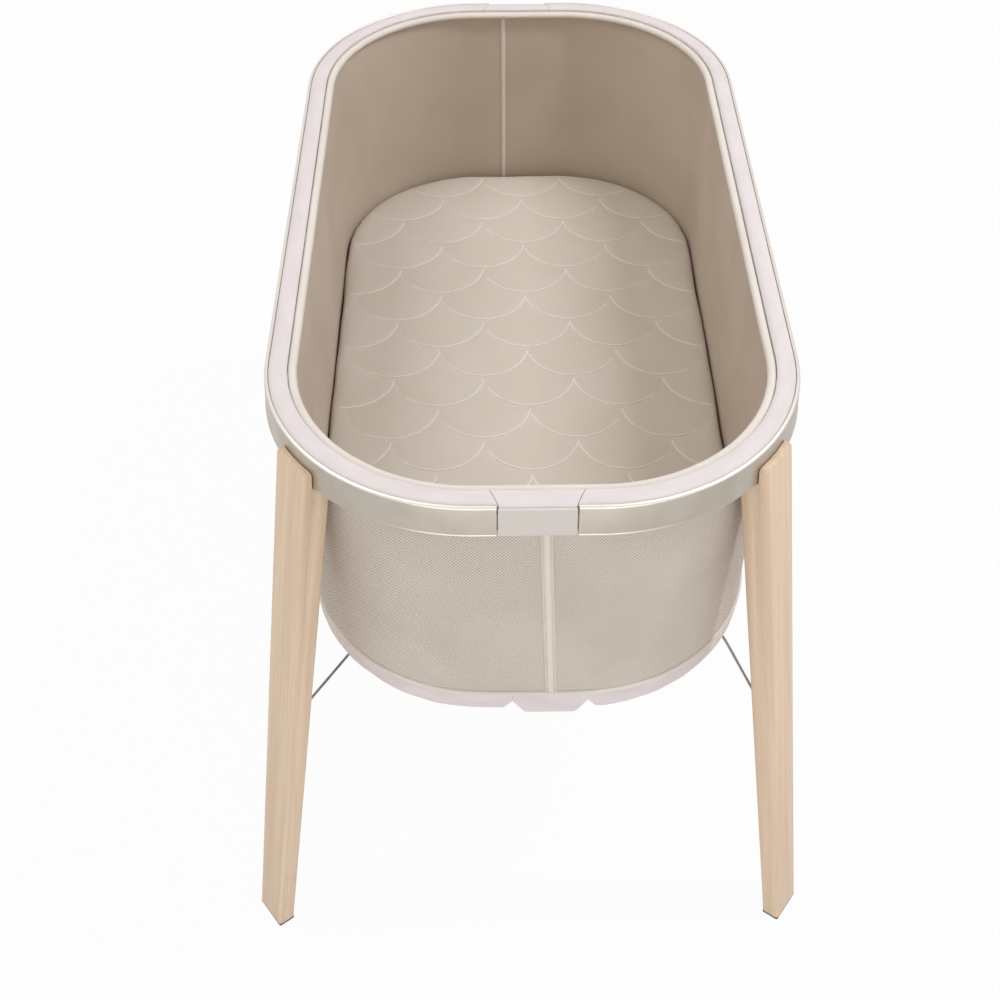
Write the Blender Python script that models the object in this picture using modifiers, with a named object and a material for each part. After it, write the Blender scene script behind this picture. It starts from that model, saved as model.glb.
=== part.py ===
"""Bedside bassinet: four splayed beech legs housed under a two-part aluminium rim,
a mesh basket hung inside the rim, a stiff base and a quilted mattress.

Metres, +Z up.  The origin is on the floor under the middle of the rim.
-Y is the foot end, +Y the head end.  Most pieces follow one rounded rectangle, the rim
line, so their sections are given as (inset, height): inset is measured inwards from the
rim's outer face.
"""
import math

import bmesh
import bpy
from mathutils import Matrix, Vector

# Driving dimensions
RIM_LENGTH = 0.930
RIM_WIDTH = 0.520
RIM_RADIUS = 0.203            # corner radius of the rim's outer face, along its top
RIM_TOP = 0.730               # top of the metal above the floor
BAND_HEIGHT = 0.0345          # visible height of the metal band
BAND_LEAN = 0.0022            # the band's foot stands out this far from its top
WALL = 0.0024                 # extrusion wall
SHELF_DROP = 0.0060           # the shelf that carries the basket, below the rim top
INNER_LEG_INSET = 0.0155      # outer side of the extrusion's hidden inner leg
INNER_LEG_DROP = 0.0300
GAP = 0.0003                  # clearance between pieces that touch
CORNER_STEPS = 14
CUSHION_STEPS = 10

PLATE_HALF = 0.0352           # half width of the plastic plate that joins the rim halves
JOINT_GAP = 0.0012            # open line between the plate and each rim end
SPIGOT_HALF = 0.085           # half length of the connector inside the rim channel

LEG_ANGLE = math.radians(36.7)    # direction of each leg from the X axis, about the corner
LEG_STANDOFF = 0.0110         # outer face of the leg outside the rim line, at the band's foot
LEG_SPLAY = 0.1155            # how far the foot stands out from there
LEG_WIDTH_TOP = 0.0500
LEG_WIDTH_FOOT = 0.0458
LEG_DEPTH_TOP = 0.0310
LEG_DEPTH_FOOT = 0.0214
LIP_RISE = 0.0180             # the leg's lip laps this far up the band
LIP_GAP = 0.0009              # open line between the lip and the band
GROOVE_RELIEF = 0.0024        # groove runs on below the band
GLIDE_HEIGHT = 0.0030

BASKET_BOTTOM = 0.406
HEM_HEIGHT = 0.027
MESH_INSET_TOP = 0.0220
MESH_INSET_FOOT = 0.0236
MESH_THICKNESS = 0.0030
PIPING_RADIUS = 0.0035
HEM_PIPING_RADIUS = 0.0024
SEAM_FOOT_X = 0.0130          # the foot seam runs a little to the right of the middle
SEAM_HEAD_X = -0.0170
SEAM_HALF = 0.0052
SEAM_LEAN = 0.0055            # half of the foot seam's drift from top to bottom

RING_RADIUS = 0.0035          # steel ring in the hem
RING_INSET = 0.0298
RING_HEIGHT = 0.4116
SLEEVE_RADIUS = 0.0044
SLEEVE_HALF = 0.022

BOARD_INSET = 0.0362
BOARD_BOTTOM = 0.4076
BOARD_TOP = 0.4162
MATTRESS_INSET = 0.0284
MATTRESS_BOTTOM = 0.4166
MATTRESS_SHOULDER = 0.4765
MATTRESS_CROWN = 0.4865
COVER_THICKNESS = 0.0015

ROD_RADIUS = 0.0016
ROD_HEIGHT = 0.3515           # where both brace rods meet the legs
ROD_CRANK = 0.0470            # the upper rod climbs this far, to run just under the basket
ROD_SLOPE = 0.58
ROD_BEND = 0.018              # length of each bend, either side of its corner
ROD_SEAT = 0.011

BOLT_SPREAD = 0.012           # the two leg bolts stand this far either side of the leg's middle
BOLT_RADIUS = 0.0030
BOLT_HEAD_RADIUS = 0.0050
SCREW_X = 0.0450
SCREW_RADIUS = 0.0020
FIXING_DROP = 0.0190          # bolts and screws sit this far below the rim top
STEM_RADIUS = 0.0030
STEM_LENGTH = 0.0145
FLAP_HALF = 0.0330            # half width of the tab over each connector, where it meets the plate
FLAP_FLARE = 0.45             # the tab widens inwards by this much per unit of inset
HEM_JOINT_X = 0.0220          # middle of the hem's tab, and of the ring joint under it
HEM_FLAP_HALF = 0.0430
HEM_NOTCH_HEIGHT = 0.0165     # the V beside the hem's tab starts this far over the hem's foot
HEM_NOTCH_SLOPE = 0.70

HALF_LENGTH = RIM_LENGTH / 2
HALF_WIDTH = RIM_WIDTH / 2
CORNER_X = HALF_WIDTH - RIM_RADIUS
CORNER_Y = HALF_LENGTH - RIM_RADIUS
BAND_FOOT = RIM_TOP - BAND_HEIGHT

COLOURS = {
    "anodised_aluminium": ((0.52, 0.47, 0.40), 0.32, 0.9),
    "connector_plastic": ((0.65, 0.60, 0.58), 0.5, 0.0),
    "beech": ((0.72, 0.55, 0.39), 0.45, 0.0),
    "glide_plastic": ((0.30, 0.28, 0.27), 0.6, 0.0),
    "zinc_steel": ((0.34, 0.33, 0.30), 0.35, 1.0),
    "spacer_mesh": ((0.55, 0.49, 0.41), 0.85, 0.0),
    "binding_fabric": ((0.74, 0.69, 0.70), 0.8, 0.0),
    "piping_fabric": ((0.70, 0.65, 0.58), 0.8, 0.0),
    "fibreboard": ((0.45, 0.33, 0.22), 0.7, 0.0),
    "foam": ((0.85, 0.83, 0.76), 0.9, 0.0),
    "quilted_knit": ((0.60, 0.53, 0.44), 0.85, 0.0),
}


def clear_scene():
    for old in list(bpy.data.objects):
        bpy.data.objects.remove(old, do_unlink=True)


def new_collection(name):
    collection = bpy.data.collections.new(name)
    bpy.context.scene.collection.children.link(collection)
    return collection


def make_material(slot, piece_name):
    colour, roughness, metallic = COLOURS[slot]
    material = bpy.data.materials.new(f"{slot}_{piece_name}")
    material.use_nodes = True
    shader = material.node_tree.nodes["Principled BSDF"]
    shader.inputs["Base Color"].default_value = (*colour, 1.0)
    shader.inputs["Roughness"].default_value = roughness
    shader.inputs["Metallic"].default_value = metallic
    return material


def finish_piece(bm, name, slot, collection, smooth_angle=32.0):
    """Turn a bmesh into a named piece with its own material."""
    bmesh.ops.remove_doubles(bm, verts=bm.verts, dist=0.00001)
    bmesh.ops.recalc_face_normals(bm, faces=bm.faces)
    mesh = bpy.data.meshes.new(name)
    bm.to_mesh(mesh)
    bm.free()
    mesh.shade_smooth()
    mesh.set_sharp_from_angle(angle=math.radians(smooth_angle))
    piece = bpy.data.objects.new(name, mesh)
    collection.objects.link(piece)
    if slot:
        mesh.materials.append(make_material(slot, name))
    return piece


def make_cutter(bm, name, cutters):
    cutter = finish_piece(bm, name, None, cutters)
    cutter.hide_render = True
    cutter.display_type = "WIRE"
    return cutter


def boolean(piece, cutter, operation="DIFFERENCE"):
    """Cut or join with the exact solver and keep the result as the piece's own mesh."""
    modifier = piece.modifiers.new(operation.lower(), "BOOLEAN")
    modifier.operation = operation
    modifier.solver = "EXACT"
    modifier.object = cutter
    depsgraph = bpy.context.evaluated_depsgraph_get()
    mesh = bpy.data.meshes.new_from_object(piece.evaluated_get(depsgraph))
    mesh.name = piece.name
    mesh.shade_smooth()
    mesh.set_sharp_from_angle(angle=math.radians(32))
    piece.modifiers.clear()
    piece.data = mesh


# Sweeping a section round the rim line
def edges_of(geometry):
    return [item for item in geometry if isinstance(item, bmesh.types.BMEdge)]


def verts_of(geometry):
    return [item for item in geometry if isinstance(item, bmesh.types.BMVert)]


def run_straight(bm, edges, step):
    grown = bmesh.ops.extrude_edge_only(bm, edges=edges)["geom"]
    verts = verts_of(grown)
    bmesh.ops.translate(bm, verts=verts, vec=step)
    return [edge for edge in edges_of(grown) if all(vert in verts for vert in edge.verts)]


def run_corner(bm, edges, centre, steps):
    turned = bmesh.ops.spin(bm, geom=edges, cent=centre, axis=(0, 0, 1), dvec=(0, 0, 0),
                            angle=math.pi / 2, steps=steps, use_merge=False, use_duplicate=False)
    return edges_of(turned["geom_last"])


def sweep_half(section, closed=True, foot_x=0.0, head_x=0.0, steps=CORNER_STEPS):
    """Sweep an (inset, height) section round the +X half of the rim line.

    The half starts at foot_x on the foot end and stops at head_x on the head end.
    """
    bm = bmesh.new()
    verts = [bm.verts.new((foot_x, -HALF_LENGTH + inset, height)) for inset, height in section]
    edges = [bm.edges.new(pair) for pair in zip(verts, verts[1:])]
    if closed:
        edges.append(bm.edges.new((verts[-1], verts[0])))
    edges = run_straight(bm, edges, (CORNER_X - foot_x, 0, 0))
    edges = run_corner(bm, edges, (CORNER_X, -CORNER_Y, 0), steps)
    edges = run_straight(bm, edges, (0, 2 * CORNER_Y, 0))
    edges = run_corner(bm, edges, (CORNER_X, CORNER_Y, 0), steps)
    run_straight(bm, edges, (head_x - CORNER_X, 0, 0))
    return bm


def close_ends(bm):
    bmesh.ops.holes_fill(bm, edges=bm.edges, sides=0)


def mirror_x(bm):
    bmesh.ops.scale(bm, vec=(-1, 1, 1), verts=bm.verts)


def half_loop(section, side, foot_x, head_x):
    """A closed bar along one long half of the rim line, with open lines at its ends."""
    bm = sweep_half(section, True, foot_x * side, head_x * side)
    close_ends(bm)
    if side < 0:
        mirror_x(bm)
    return bm


def full_loop(section, closed=True, steps=CORNER_STEPS):
    """The section swept all the way round; an open section is capped inside."""
    bm = sweep_half(section, closed, steps=steps)
    bmesh.ops.mirror(bm, geom=bm.verts[:] + bm.edges[:] + bm.faces[:], axis="X", merge_dist=0.00001)
    bmesh.ops.remove_doubles(bm, verts=bm.verts, dist=0.00001)
    if not closed:
        close_ends(bm)
    return bm


def at_end(face, end):
    return all(vert.co.y * end > CORNER_Y - 0.001 for vert in face.verts)


def trim(bm, end, point, normal):
    """Cut one end of a loop with a plane, drop what lies on the normal's side, close the cut."""
    faces = [face for face in bm.faces if at_end(face, end)]
    edges = list(dict.fromkeys(edge for face in faces for edge in face.edges))
    verts = list(dict.fromkeys(vert for face in faces for vert in face.verts))
    bmesh.ops.bisect_plane(bm, geom=verts + edges + faces, clear_outer=True, plane_co=point,
                           plane_no=Vector(normal).normalized())
    close_ends(bm)


def keep_between(bm, low_x, high_x, end, flare=0.0):
    """Keep the stretch of a loop between two upright planes at one end.

    flare opens the cut inwards: each plane leans by this much x for every metre of inset.
    """
    rest = [face for face in bm.faces if not at_end(face, end)]
    bmesh.ops.delete(bm, geom=rest, context="FACES")
    for x, outward in ((low_x, -1), (high_x, 1)):
        trim(bm, end, (x, end * HALF_LENGTH, 0), (outward, flare * end, 0))


def tube_section(inset, height, radius, sides=6):
    return [(inset + radius * math.cos(math.tau * i / sides),
             height + radius * math.sin(math.tau * i / sides)) for i in range(sides)]


# Sections, as (inset, height) points
def rim_section():
    """Aluminium extrusion: leaning outer wall with a rounded lip, shelf, inner leg, return flange."""
    top, foot, shelf, lean = RIM_TOP, BAND_FOOT, RIM_TOP - SHELF_DROP, BAND_LEAN
    return [
        (0.0008 - lean, foot), (-lean, foot + 0.0008), (0.0, top - 0.0034), (0.0002, top - 0.0018),
        (0.0009, top - 0.0006), (0.0020, top), (0.0030, top - 0.0003), (0.0036, top - 0.0012),
        (0.0036, shelf), (INNER_LEG_INSET + 0.0020, shelf),
        (INNER_LEG_INSET + 0.0020, top - INNER_LEG_DROP), (INNER_LEG_INSET, top - INNER_LEG_DROP),
        (INNER_LEG_INSET, shelf - 0.0020), (WALL, shelf - 0.0020), (WALL - lean, foot + 0.0022),
        (0.0044 - lean, foot + 0.0022), (0.0044 - lean, foot),
    ]


def leg_housing_section():
    """What the rim needs out of a leg's top: all above the lip, groove, tongue and shoulder."""
    lip_top = BAND_FOOT + LIP_RISE
    face = leg_outer(lip_top) - RIM_RADIUS
    back = LIP_GAP + BAND_LEAN * (RIM_TOP - lip_top) / BAND_HEIGHT
    groove_back = LIP_GAP + BAND_LEAN
    groove = BAND_FOOT - GROOVE_RELIEF
    shelf_under = RIM_TOP - SHELF_DROP - 0.0020 - GAP
    shoulder = RIM_TOP - INNER_LEG_DROP - GAP
    clear = RIM_TOP + 0.05
    return [
        (-0.0500, lip_top - 0.0034), (-face - 0.0009, lip_top - 0.0034),
        (-face + 0.0006, lip_top - 0.0010), (-face + 0.0026, lip_top), (-back, lip_top),
        (-groove_back, BAND_FOOT), (0.0012 - groove_back, groove), (0.0030, groove),
        (0.0040, BAND_FOOT), (0.0048, BAND_FOOT + 0.0030), (0.0048, shelf_under),
        (INNER_LEG_INSET - GAP, shelf_under), (INNER_LEG_INSET - GAP, shoulder),
        (0.0600, shoulder), (0.0600, clear), (-0.0500, clear),
    ]


def binding_section():
    """Padded fabric strip that hangs the basket on the rim's shelf."""
    top, seat = RIM_TOP, RIM_TOP - SHELF_DROP + GAP
    return [(0.0039, seat), (0.0039, top - 0.0016), (0.0058, top + 0.0002), (0.0110, top + 0.0011),
            (0.0165, top + 0.0005), (0.0194, top - 0.0014), (0.0194, seat)]


def flap_section():
    """The strip's tab over each connector, with its tail tucked down behind the plate."""
    top, seat = RIM_TOP, RIM_TOP - SHELF_DROP + GAP
    return [(0.0027, top - 0.0110), (0.0027, top - 0.0026), (0.0040, top - 0.0006),
            (0.0070, top + 0.0004), (0.0120, top + 0.0009), (0.0165, top + 0.0004),
            (0.0194, top - 0.0014), (0.0194, seat), (0.0042, seat), (0.0042, top - 0.0110)]


def connector_section():
    """Plate flush with the band, a slot for the fabric tail, and the block behind it."""
    top, foot, shelf, lean = RIM_TOP, BAND_FOOT, RIM_TOP - SHELF_DROP, BAND_LEAN
    back = INNER_LEG_INSET + 0.0020
    return [(0.0006 - lean, foot), (-lean, foot + 0.0006), (0.0, top - 0.0036),
            (0.0006, top - 0.0030), (WALL, top - 0.0030), (WALL, top - 0.0115),
            (0.0046, top - 0.0115), (0.0046, shelf), (back, shelf), (back, foot + 0.0015),
            (0.0050 - lean, foot + 0.0015), (0.0044 - lean, foot)]


def spigot_section():
    """Tongue of the connector that slides into the channel of each rim half."""
    top, foot = RIM_TOP - SHELF_DROP - 0.0020 - GAP, BAND_FOOT + 0.0022 + GAP
    step = RIM_TOP - 0.0118
    outer, inner = WALL + GAP, INNER_LEG_INSET - GAP
    return [(outer, foot), (outer, step), (0.0049, step), (0.0049, top), (inner, top), (inner, foot)]


def mesh_section():
    top = RIM_TOP - 2 * PIPING_RADIUS - GAP
    foot = BASKET_BOTTOM + HEM_HEIGHT + 2 * HEM_PIPING_RADIUS + GAP
    inner = MESH_THICKNESS
    middle = (top + foot) / 2
    sag = (MESH_INSET_TOP + MESH_INSET_FOOT) / 2 + 0.0006
    return [(MESH_INSET_TOP, top), (sag, middle), (MESH_INSET_FOOT, foot),
            (MESH_INSET_FOOT + inner, foot), (sag + inner, middle), (MESH_INSET_TOP + inner, top)]


def hem_section():
    """Fabric hem: down the outside, round the steel ring and in to the floor panel."""
    top, low = BASKET_BOTTOM + HEM_HEIGHT, BASKET_BOTTOM
    skin = 0.0012
    return [
        (0.0232, top - GAP), (0.0228, top - 0.0100), (0.0232, low + 0.0080), (0.0248, low + 0.0022),
        (0.0275, low), (0.0380, low), (0.0380, low + skin), (0.0281, low + skin),
        (0.0258, low + 0.0032), (0.0245, low + 0.0085), (0.0241, top - 0.0100), (0.0245, top - GAP),
    ]


def hem_flap_section():
    """The hem's tab over the ring's joint: fuller, and hanging lower than the hem."""
    top, low = BASKET_BOTTOM + HEM_HEIGHT, BASKET_BOTTOM
    skin = 0.0012
    return [
        (0.0232, top - GAP), (0.0222, top - 0.0100), (0.0216, low + 0.0040), (0.0220, low - 0.0040),
        (0.0236, low - 0.0075), (0.0260, low - 0.0080), (0.0300, low - 0.0040), (0.0380, low),
        (0.0380, low + skin), (0.0292, low - 0.0022), (0.0256, low - 0.0050), (0.0238, low - 0.0036),
        (0.0229, low + 0.0040), (0.0234, top - 0.0100), (0.0245, top - GAP),
    ]


# Legs
def leg_frame(side_x, side_y):
    """Matrix from the leg's own (out, across, up) to the world, about its rim corner."""
    out = Vector((math.cos(LEG_ANGLE) * side_x, math.sin(LEG_ANGLE) * side_y, 0))
    across = Vector((-out.y, out.x, 0))
    matrix = Matrix((out, across, (0, 0, 1))).transposed().to_4x4()
    matrix.translation = (CORNER_X * side_x, CORNER_Y * side_y, 0)
    return matrix


def leg_outer(height):
    drop = (BAND_FOOT - height) / BAND_FOOT
    return RIM_RADIUS + LEG_STANDOFF + LEG_SPLAY * drop


def leg_depth(height):
    drop = (BAND_FOOT - height) / BAND_FOOT
    return LEG_DEPTH_TOP + (LEG_DEPTH_FOOT - LEG_DEPTH_TOP) * drop


def leg_width(height):
    drop = (BAND_FOOT - height) / BAND_FOOT
    return LEG_WIDTH_TOP + (LEG_WIDTH_FOOT - LEG_WIDTH_TOP) * drop


def tapered_bar(low, high):
    """The leg's squared-up blank, splayed and tapered, with its long edges eased."""
    bm = bmesh.new()
    made = bmesh.ops.create_cube(bm, size=1.0)
    for vert in made["verts"]:
        height = high if vert.co.z > 0 else low
        out = leg_outer(height) if vert.co.x > 0 else leg_outer(height) - leg_depth(height)
        across = math.copysign(leg_width(height) / 2, vert.co.y)
        vert.co = (out, across, height)
    long_edges = [e for e in bm.edges if abs(e.verts[0].co.z - e.verts[1].co.z) > (high - low) / 2]
    bmesh.ops.bevel(bm, geom=long_edges, offset=0.0022, offset_type="OFFSET", segments=3,
                    profile=0.5, affect="EDGES")
    foot_edges = [e for e in bm.edges if all(abs(v.co.z - low) < 0.0001 for v in e.verts)]
    bmesh.ops.bevel(bm, geom=foot_edges, offset=0.0008, offset_type="OFFSET", segments=1,
                    profile=0.5, affect="EDGES")
    return bm


def cylinder_between(bm, start, end, radius, sides=16):
    start, end = Vector(start), Vector(end)
    turn = (end - start).to_track_quat("Z", "Y").to_matrix().to_4x4()
    turn.translation = (start + end) / 2
    bmesh.ops.create_cone(bm, cap_ends=True, segments=sides, radius1=radius, radius2=radius,
                          depth=(end - start).length, matrix=turn)


def bolt_points(side_x, side_y):
    """Head seat and thread end of each leg bolt, on the hidden inner leg of the rim."""
    frame = leg_frame(side_x, side_y)
    height = RIM_TOP - FIXING_DROP
    seat = RIM_RADIUS - INNER_LEG_INSET - 0.0036
    for across in (-BOLT_SPREAD, BOLT_SPREAD):
        yield frame @ Vector((seat, across, height)), frame @ Vector((seat + 0.0120, across, height))


def rod_anchor(side_x, side_y):
    """Middle of the leg's inner face at the height of the brace rods."""
    inner = leg_outer(ROD_HEIGHT) - leg_depth(ROD_HEIGHT)
    return leg_frame(side_x, side_y) @ Vector((inner, 0, ROD_HEIGHT))


def end_slope(side_x, side_y):
    """Slope of the rod's end stretch: the rod from foot right to head left is cranked."""
    return ROD_SLOPE if side_x * side_y < 0 else 0.0


def rod_line(side_x, side_y):
    """Where a brace rod leaves the leg, and its direction there, towards the middle."""
    anchor = rod_anchor(side_x, side_y)
    run = Vector((-anchor.x, -anchor.y, 0)).normalized()
    run.z = end_slope(side_x, side_y)
    return anchor, run.normalized()


def make_leg(name, side_x, side_y, parts, cutters):
    frame = leg_frame(side_x, side_y)
    low = GLIDE_HEIGHT + GAP
    bm = tapered_bar(low, RIM_TOP)
    bmesh.ops.transform(bm, matrix=frame, verts=bm.verts)
    leg = finish_piece(bm, name, "beech", parts)

    housing = full_loop(leg_housing_section())
    boolean(leg, make_cutter(housing, f"housing_{name}", cutters))

    bores = bmesh.new()
    for seat, end in bolt_points(side_x, side_y):
        reach = (end - seat).normalized()
        cylinder_between(bores, seat - reach * 0.001, end + reach * 0.0008, BOLT_RADIUS + GAP)
    anchor, run = rod_line(side_x, side_y)
    cylinder_between(bores, anchor + run * 0.006, anchor - run * (ROD_SEAT + 0.0005),
                     ROD_RADIUS + GAP, 12)
    stem = frame @ Vector((leg_outer(low) - LEG_DEPTH_FOOT / 2, 0, 0))
    stem_top = stem + Vector((0, 0, GLIDE_HEIGHT + STEM_LENGTH + 0.0005))
    cylinder_between(bores, stem, stem_top, STEM_RADIUS + GAP)
    boolean(leg, make_cutter(bores, f"bores_{name}", cutters))


def make_glide(name, side_x, side_y, parts, cutters):
    """Plastic pad under the foot, with a stem pressed up into the leg."""
    frame = leg_frame(side_x, side_y)
    centre = leg_outer(GLIDE_HEIGHT) - LEG_DEPTH_FOOT / 2
    pad = bmesh.new()
    size = (LEG_DEPTH_FOOT - 0.0006, LEG_WIDTH_FOOT - 0.0006, GLIDE_HEIGHT, 1)
    bmesh.ops.create_cube(pad, size=1.0, matrix=Matrix.Diagonal(size))
    upright = [e for e in pad.edges if abs(e.verts[0].co.z - e.verts[1].co.z) > 0.001]
    bmesh.ops.bevel(pad, geom=upright, offset=0.0022, offset_type="OFFSET", segments=3,
                    profile=0.5, affect="EDGES")
    bmesh.ops.translate(pad, verts=pad.verts, vec=(centre, 0, GLIDE_HEIGHT / 2))
    bmesh.ops.transform(pad, matrix=frame, verts=pad.verts)
    glide = finish_piece(pad, name, "glide_plastic", parts)

    stem = bmesh.new()
    start = frame @ Vector((centre, 0, GLIDE_HEIGHT / 2))
    cylinder_between(stem, start, start + Vector((0, 0, GLIDE_HEIGHT / 2 + STEM_LENGTH)), STEM_RADIUS)
    boolean(glide, make_cutter(stem, f"stem_{name}", cutters), "UNION")


def make_fastener(name, seat, end, radius, head_radius, head_height, parts):
    """Button-headed screw: half its outline, turned about the screw's own axis."""
    length = (end - seat).length
    outline = [(0, head_height), (head_radius * 0.55, head_height),
               (head_radius * 0.9, head_height * 0.45), (head_radius, 0), (radius, 0),
               (radius, -length), (0, -length)]
    mesh = bpy.data.meshes.new(name)
    mesh.from_pydata([(out, 0, along) for out, along in outline],
                     [(i, i + 1) for i in range(len(outline) - 1)], [])
    mesh.materials.append(make_material("zinc_steel", name))
    fastener = bpy.data.objects.new(name, mesh)
    fastener.rotation_mode = "QUATERNION"
    fastener.rotation_quaternion = (seat - end).to_track_quat("Z", "Y")
    fastener.location = seat
    parts.objects.link(fastener)
    turn = fastener.modifiers.new("turn", "SCREW")
    turn.steps = 12
    turn.render_steps = 12
    turn.use_merge_vertices = True
    turn.merge_threshold = 0.00001
    turn.use_smooth_shade = True


def screw_points():
    """Head seat and thread end of the four screws that hold the rim halves to the connectors."""
    height = RIM_TOP - FIXING_DROP
    seat = HALF_LENGTH - INNER_LEG_INSET - 0.0020 - GAP
    for end in (-1, 1):
        for x in (-SCREW_X, SCREW_X):
            yield Vector((x, end * seat, height)), Vector((x, end * (seat + 0.0095), height))


def make_rim_half(name, side, parts, cutters):
    bm = half_loop(rim_section(), side, side * (PLATE_HALF + JOINT_GAP), side * (PLATE_HALF + JOINT_GAP))
    rim = finish_piece(bm, name, "anodised_aluminium", parts)
    bores = bmesh.new()
    for side_y in (-1, 1):
        for seat, end in bolt_points(side, side_y):
            reach = (end - seat).normalized()
            cylinder_between(bores, seat - reach * 0.002, seat + reach * 0.0065, BOLT_RADIUS + GAP)
    for seat, end in screw_points():
        if seat.x * side > 0:
            reach = (end - seat).normalized()
            cylinder_between(bores, seat - reach * 0.002, seat + reach * 0.0050, SCREW_RADIUS + GAP)
    boolean(rim, make_cutter(bores, f"bores_{name}", cutters))


def make_connector(name, end, parts, cutters):
    """Plate and block at one end of the rim, with a curved spigot into each rim half."""
    body = full_loop(connector_section())
    keep_between(body, -PLATE_HALF, PLATE_HALF, end)
    connector = finish_piece(body, name, "connector_plastic", parts)
    spigot = full_loop(spigot_section())
    keep_between(spigot, -SPIGOT_HALF, SPIGOT_HALF, end)
    boolean(connector, make_cutter(spigot, f"spigot_{name}", cutters), "UNION")
    bores = bmesh.new()
    for seat, tip in screw_points():
        if seat.y * end > 0:
            reach = (tip - seat).normalized()
            cylinder_between(bores, seat, tip + reach * 0.0006, SCREW_RADIUS + GAP)
    boolean(connector, make_cutter(bores, f"bores_{name}", cutters))


def make_rod(name, points, parts):
    curve = bpy.data.curves.new(name, "CURVE")
    curve.dimensions = "3D"
    curve.bevel_depth = ROD_RADIUS
    curve.bevel_resolution = 2
    curve.use_fill_caps = True
    spline = curve.splines.new("POLY")
    spline.points.add(len(points) - 1)
    for spot, point in zip(spline.points, points):
        spot.co = (*point, 1.0)
    rod = bpy.data.objects.new(name, curve)
    parts.objects.link(rod)
    curve.materials.append(make_material("zinc_steel", name))


def lower_rod_points():
    """Straight and level between the foot-left and head-right legs."""
    ends = []
    for side in (-1, 1):
        anchor, run = rod_line(side, side)
        ends.append(anchor - run * ROD_SEAT)
    return ends


def upper_rod_points(steps=5):
    """Climbs from the foot-right leg, runs level under the basket, and drops to the head-left leg."""
    points = []
    for side in (1, -1):
        anchor, run = rod_line(side, -side)
        level = Vector((run.x, run.y, 0)).normalized()
        corner = anchor + run * (ROD_CRANK / run.z)
        bend = [anchor - run * ROD_SEAT]
        for i in range(steps + 1):
            t = i / steps
            before, after = corner - run * ROD_BEND, corner + level * ROD_BEND
            bend.append(before * (1 - t) ** 2 + corner * 2 * t * (1 - t) + after * t ** 2)
        points += bend if side > 0 else bend[::-1]
    return points


def make_ring_half(name, side, parts):
    """Bent steel bar in the hem, meeting its twin inside a sleeve at each end."""
    bar = tube_section(RING_INSET, RING_HEIGHT, RING_RADIUS)
    foot_x = HEM_JOINT_X + side * GAP
    head_x = -HEM_JOINT_X + side * GAP
    finish_piece(half_loop(bar, side, foot_x, head_x), name, "zinc_steel", parts, 60)


def make_ring_sleeve(name, end, parts, cutters):
    x = -end * HEM_JOINT_X
    y = end * (HALF_LENGTH - RING_INSET)
    reach = Vector((SLEEVE_HALF, 0, 0))
    centre = Vector((x, y, RING_HEIGHT))
    outer = bmesh.new()
    cylinder_between(outer, centre - reach, centre + reach, SLEEVE_RADIUS, 16)
    sleeve = finish_piece(outer, name, "zinc_steel", parts)
    bore = bmesh.new()
    cylinder_between(bore, centre - reach * 1.1, centre + reach * 1.1, RING_RADIUS + GAP, 16)
    boolean(sleeve, make_cutter(bore, f"bore_{name}", cutters))
    return sleeve


def seam_drift(height):
    """Sideways drift of the foot seam: it leans from the rim down to the hem."""
    top, foot = RIM_TOP, BASKET_BOTTOM + HEM_HEIGHT
    return SEAM_LEAN * (1 - 2 * (height - foot) / (top - foot))


def make_mesh_panels(side_name, side, parts):
    """One long half of the basket wall, from seam to seam, as two corners and the side."""
    foot_x = SEAM_FOOT_X + side * GAP
    head_x = SEAM_HEAD_X + side * GAP
    stretches = {"foot": (-HALF_LENGTH, -CORNER_Y - GAP), "side": (-CORNER_Y + GAP, CORNER_Y - GAP),
                 "head": (CORNER_Y + GAP, HALF_LENGTH)}
    for stretch, (low_y, high_y) in stretches.items():
        bm = half_loop(mesh_section(), side, foot_x, head_x)
        for vert in bm.verts:
            if vert.co.y < -CORNER_Y and abs(vert.co.x - foot_x) < 0.001:
                vert.co.x += seam_drift(vert.co.z)
        for y, outward in ((low_y, -1), (high_y, 1)):
            bmesh.ops.bisect_plane(bm, geom=bm.verts[:] + bm.edges[:] + bm.faces[:],
                                   clear_outer=True, plane_co=(0, y, 0), plane_no=(0, outward, 0))
            close_ends(bm)
        finish_piece(bm, f"mesh_{stretch}_{side_name}", "spacer_mesh", parts)


def make_seam_tape(name, end, parts):
    """Raised tape stitched down the outside of a seam."""
    outside = mesh_section()[:3]
    face = [(inset - GAP, height) for inset, height in outside]
    raised = [(inset - GAP - 0.0014, height) for inset, height in outside]
    bm = full_loop(raised + face[::-1])
    x = SEAM_FOOT_X if end < 0 else SEAM_HEAD_X
    keep_between(bm, x - SEAM_HALF, x + SEAM_HALF, end)
    crown = [e for e in bm.edges if abs(e.verts[0].co.z - e.verts[1].co.z) > 0.01
             and all(abs(v.co.y) > HALF_LENGTH - MESH_INSET_TOP - 0.0008 for v in e.verts)]
    bmesh.ops.bevel(bm, geom=crown, offset=0.0008, offset_type="OFFSET", segments=2, profile=0.5,
                    affect="EDGES")
    if end < 0:
        for vert in bm.verts:
            vert.co.x += seam_drift(vert.co.z)
    finish_piece(bm, name, "spacer_mesh", parts)


def make_binding(name, side, parts):
    """Half of the strip that lies on the rim's shelf, mitred beside each tab."""
    bm = half_loop(binding_section(), side, 0.0, 0.0)
    for end in (-1, 1):
        start = (side * (FLAP_HALF + 0.0006), end * HALF_LENGTH, 0)
        trim(bm, end, start, (-side, -FLAP_FLARE * end, 0))
    finish_piece(bm, name, "binding_fabric", parts)


def make_flap(name, end, parts):
    bm = full_loop(flap_section())
    keep_between(bm, -FLAP_HALF, FLAP_HALF, end, FLAP_FLARE)
    finish_piece(bm, name, "binding_fabric", parts)


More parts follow.
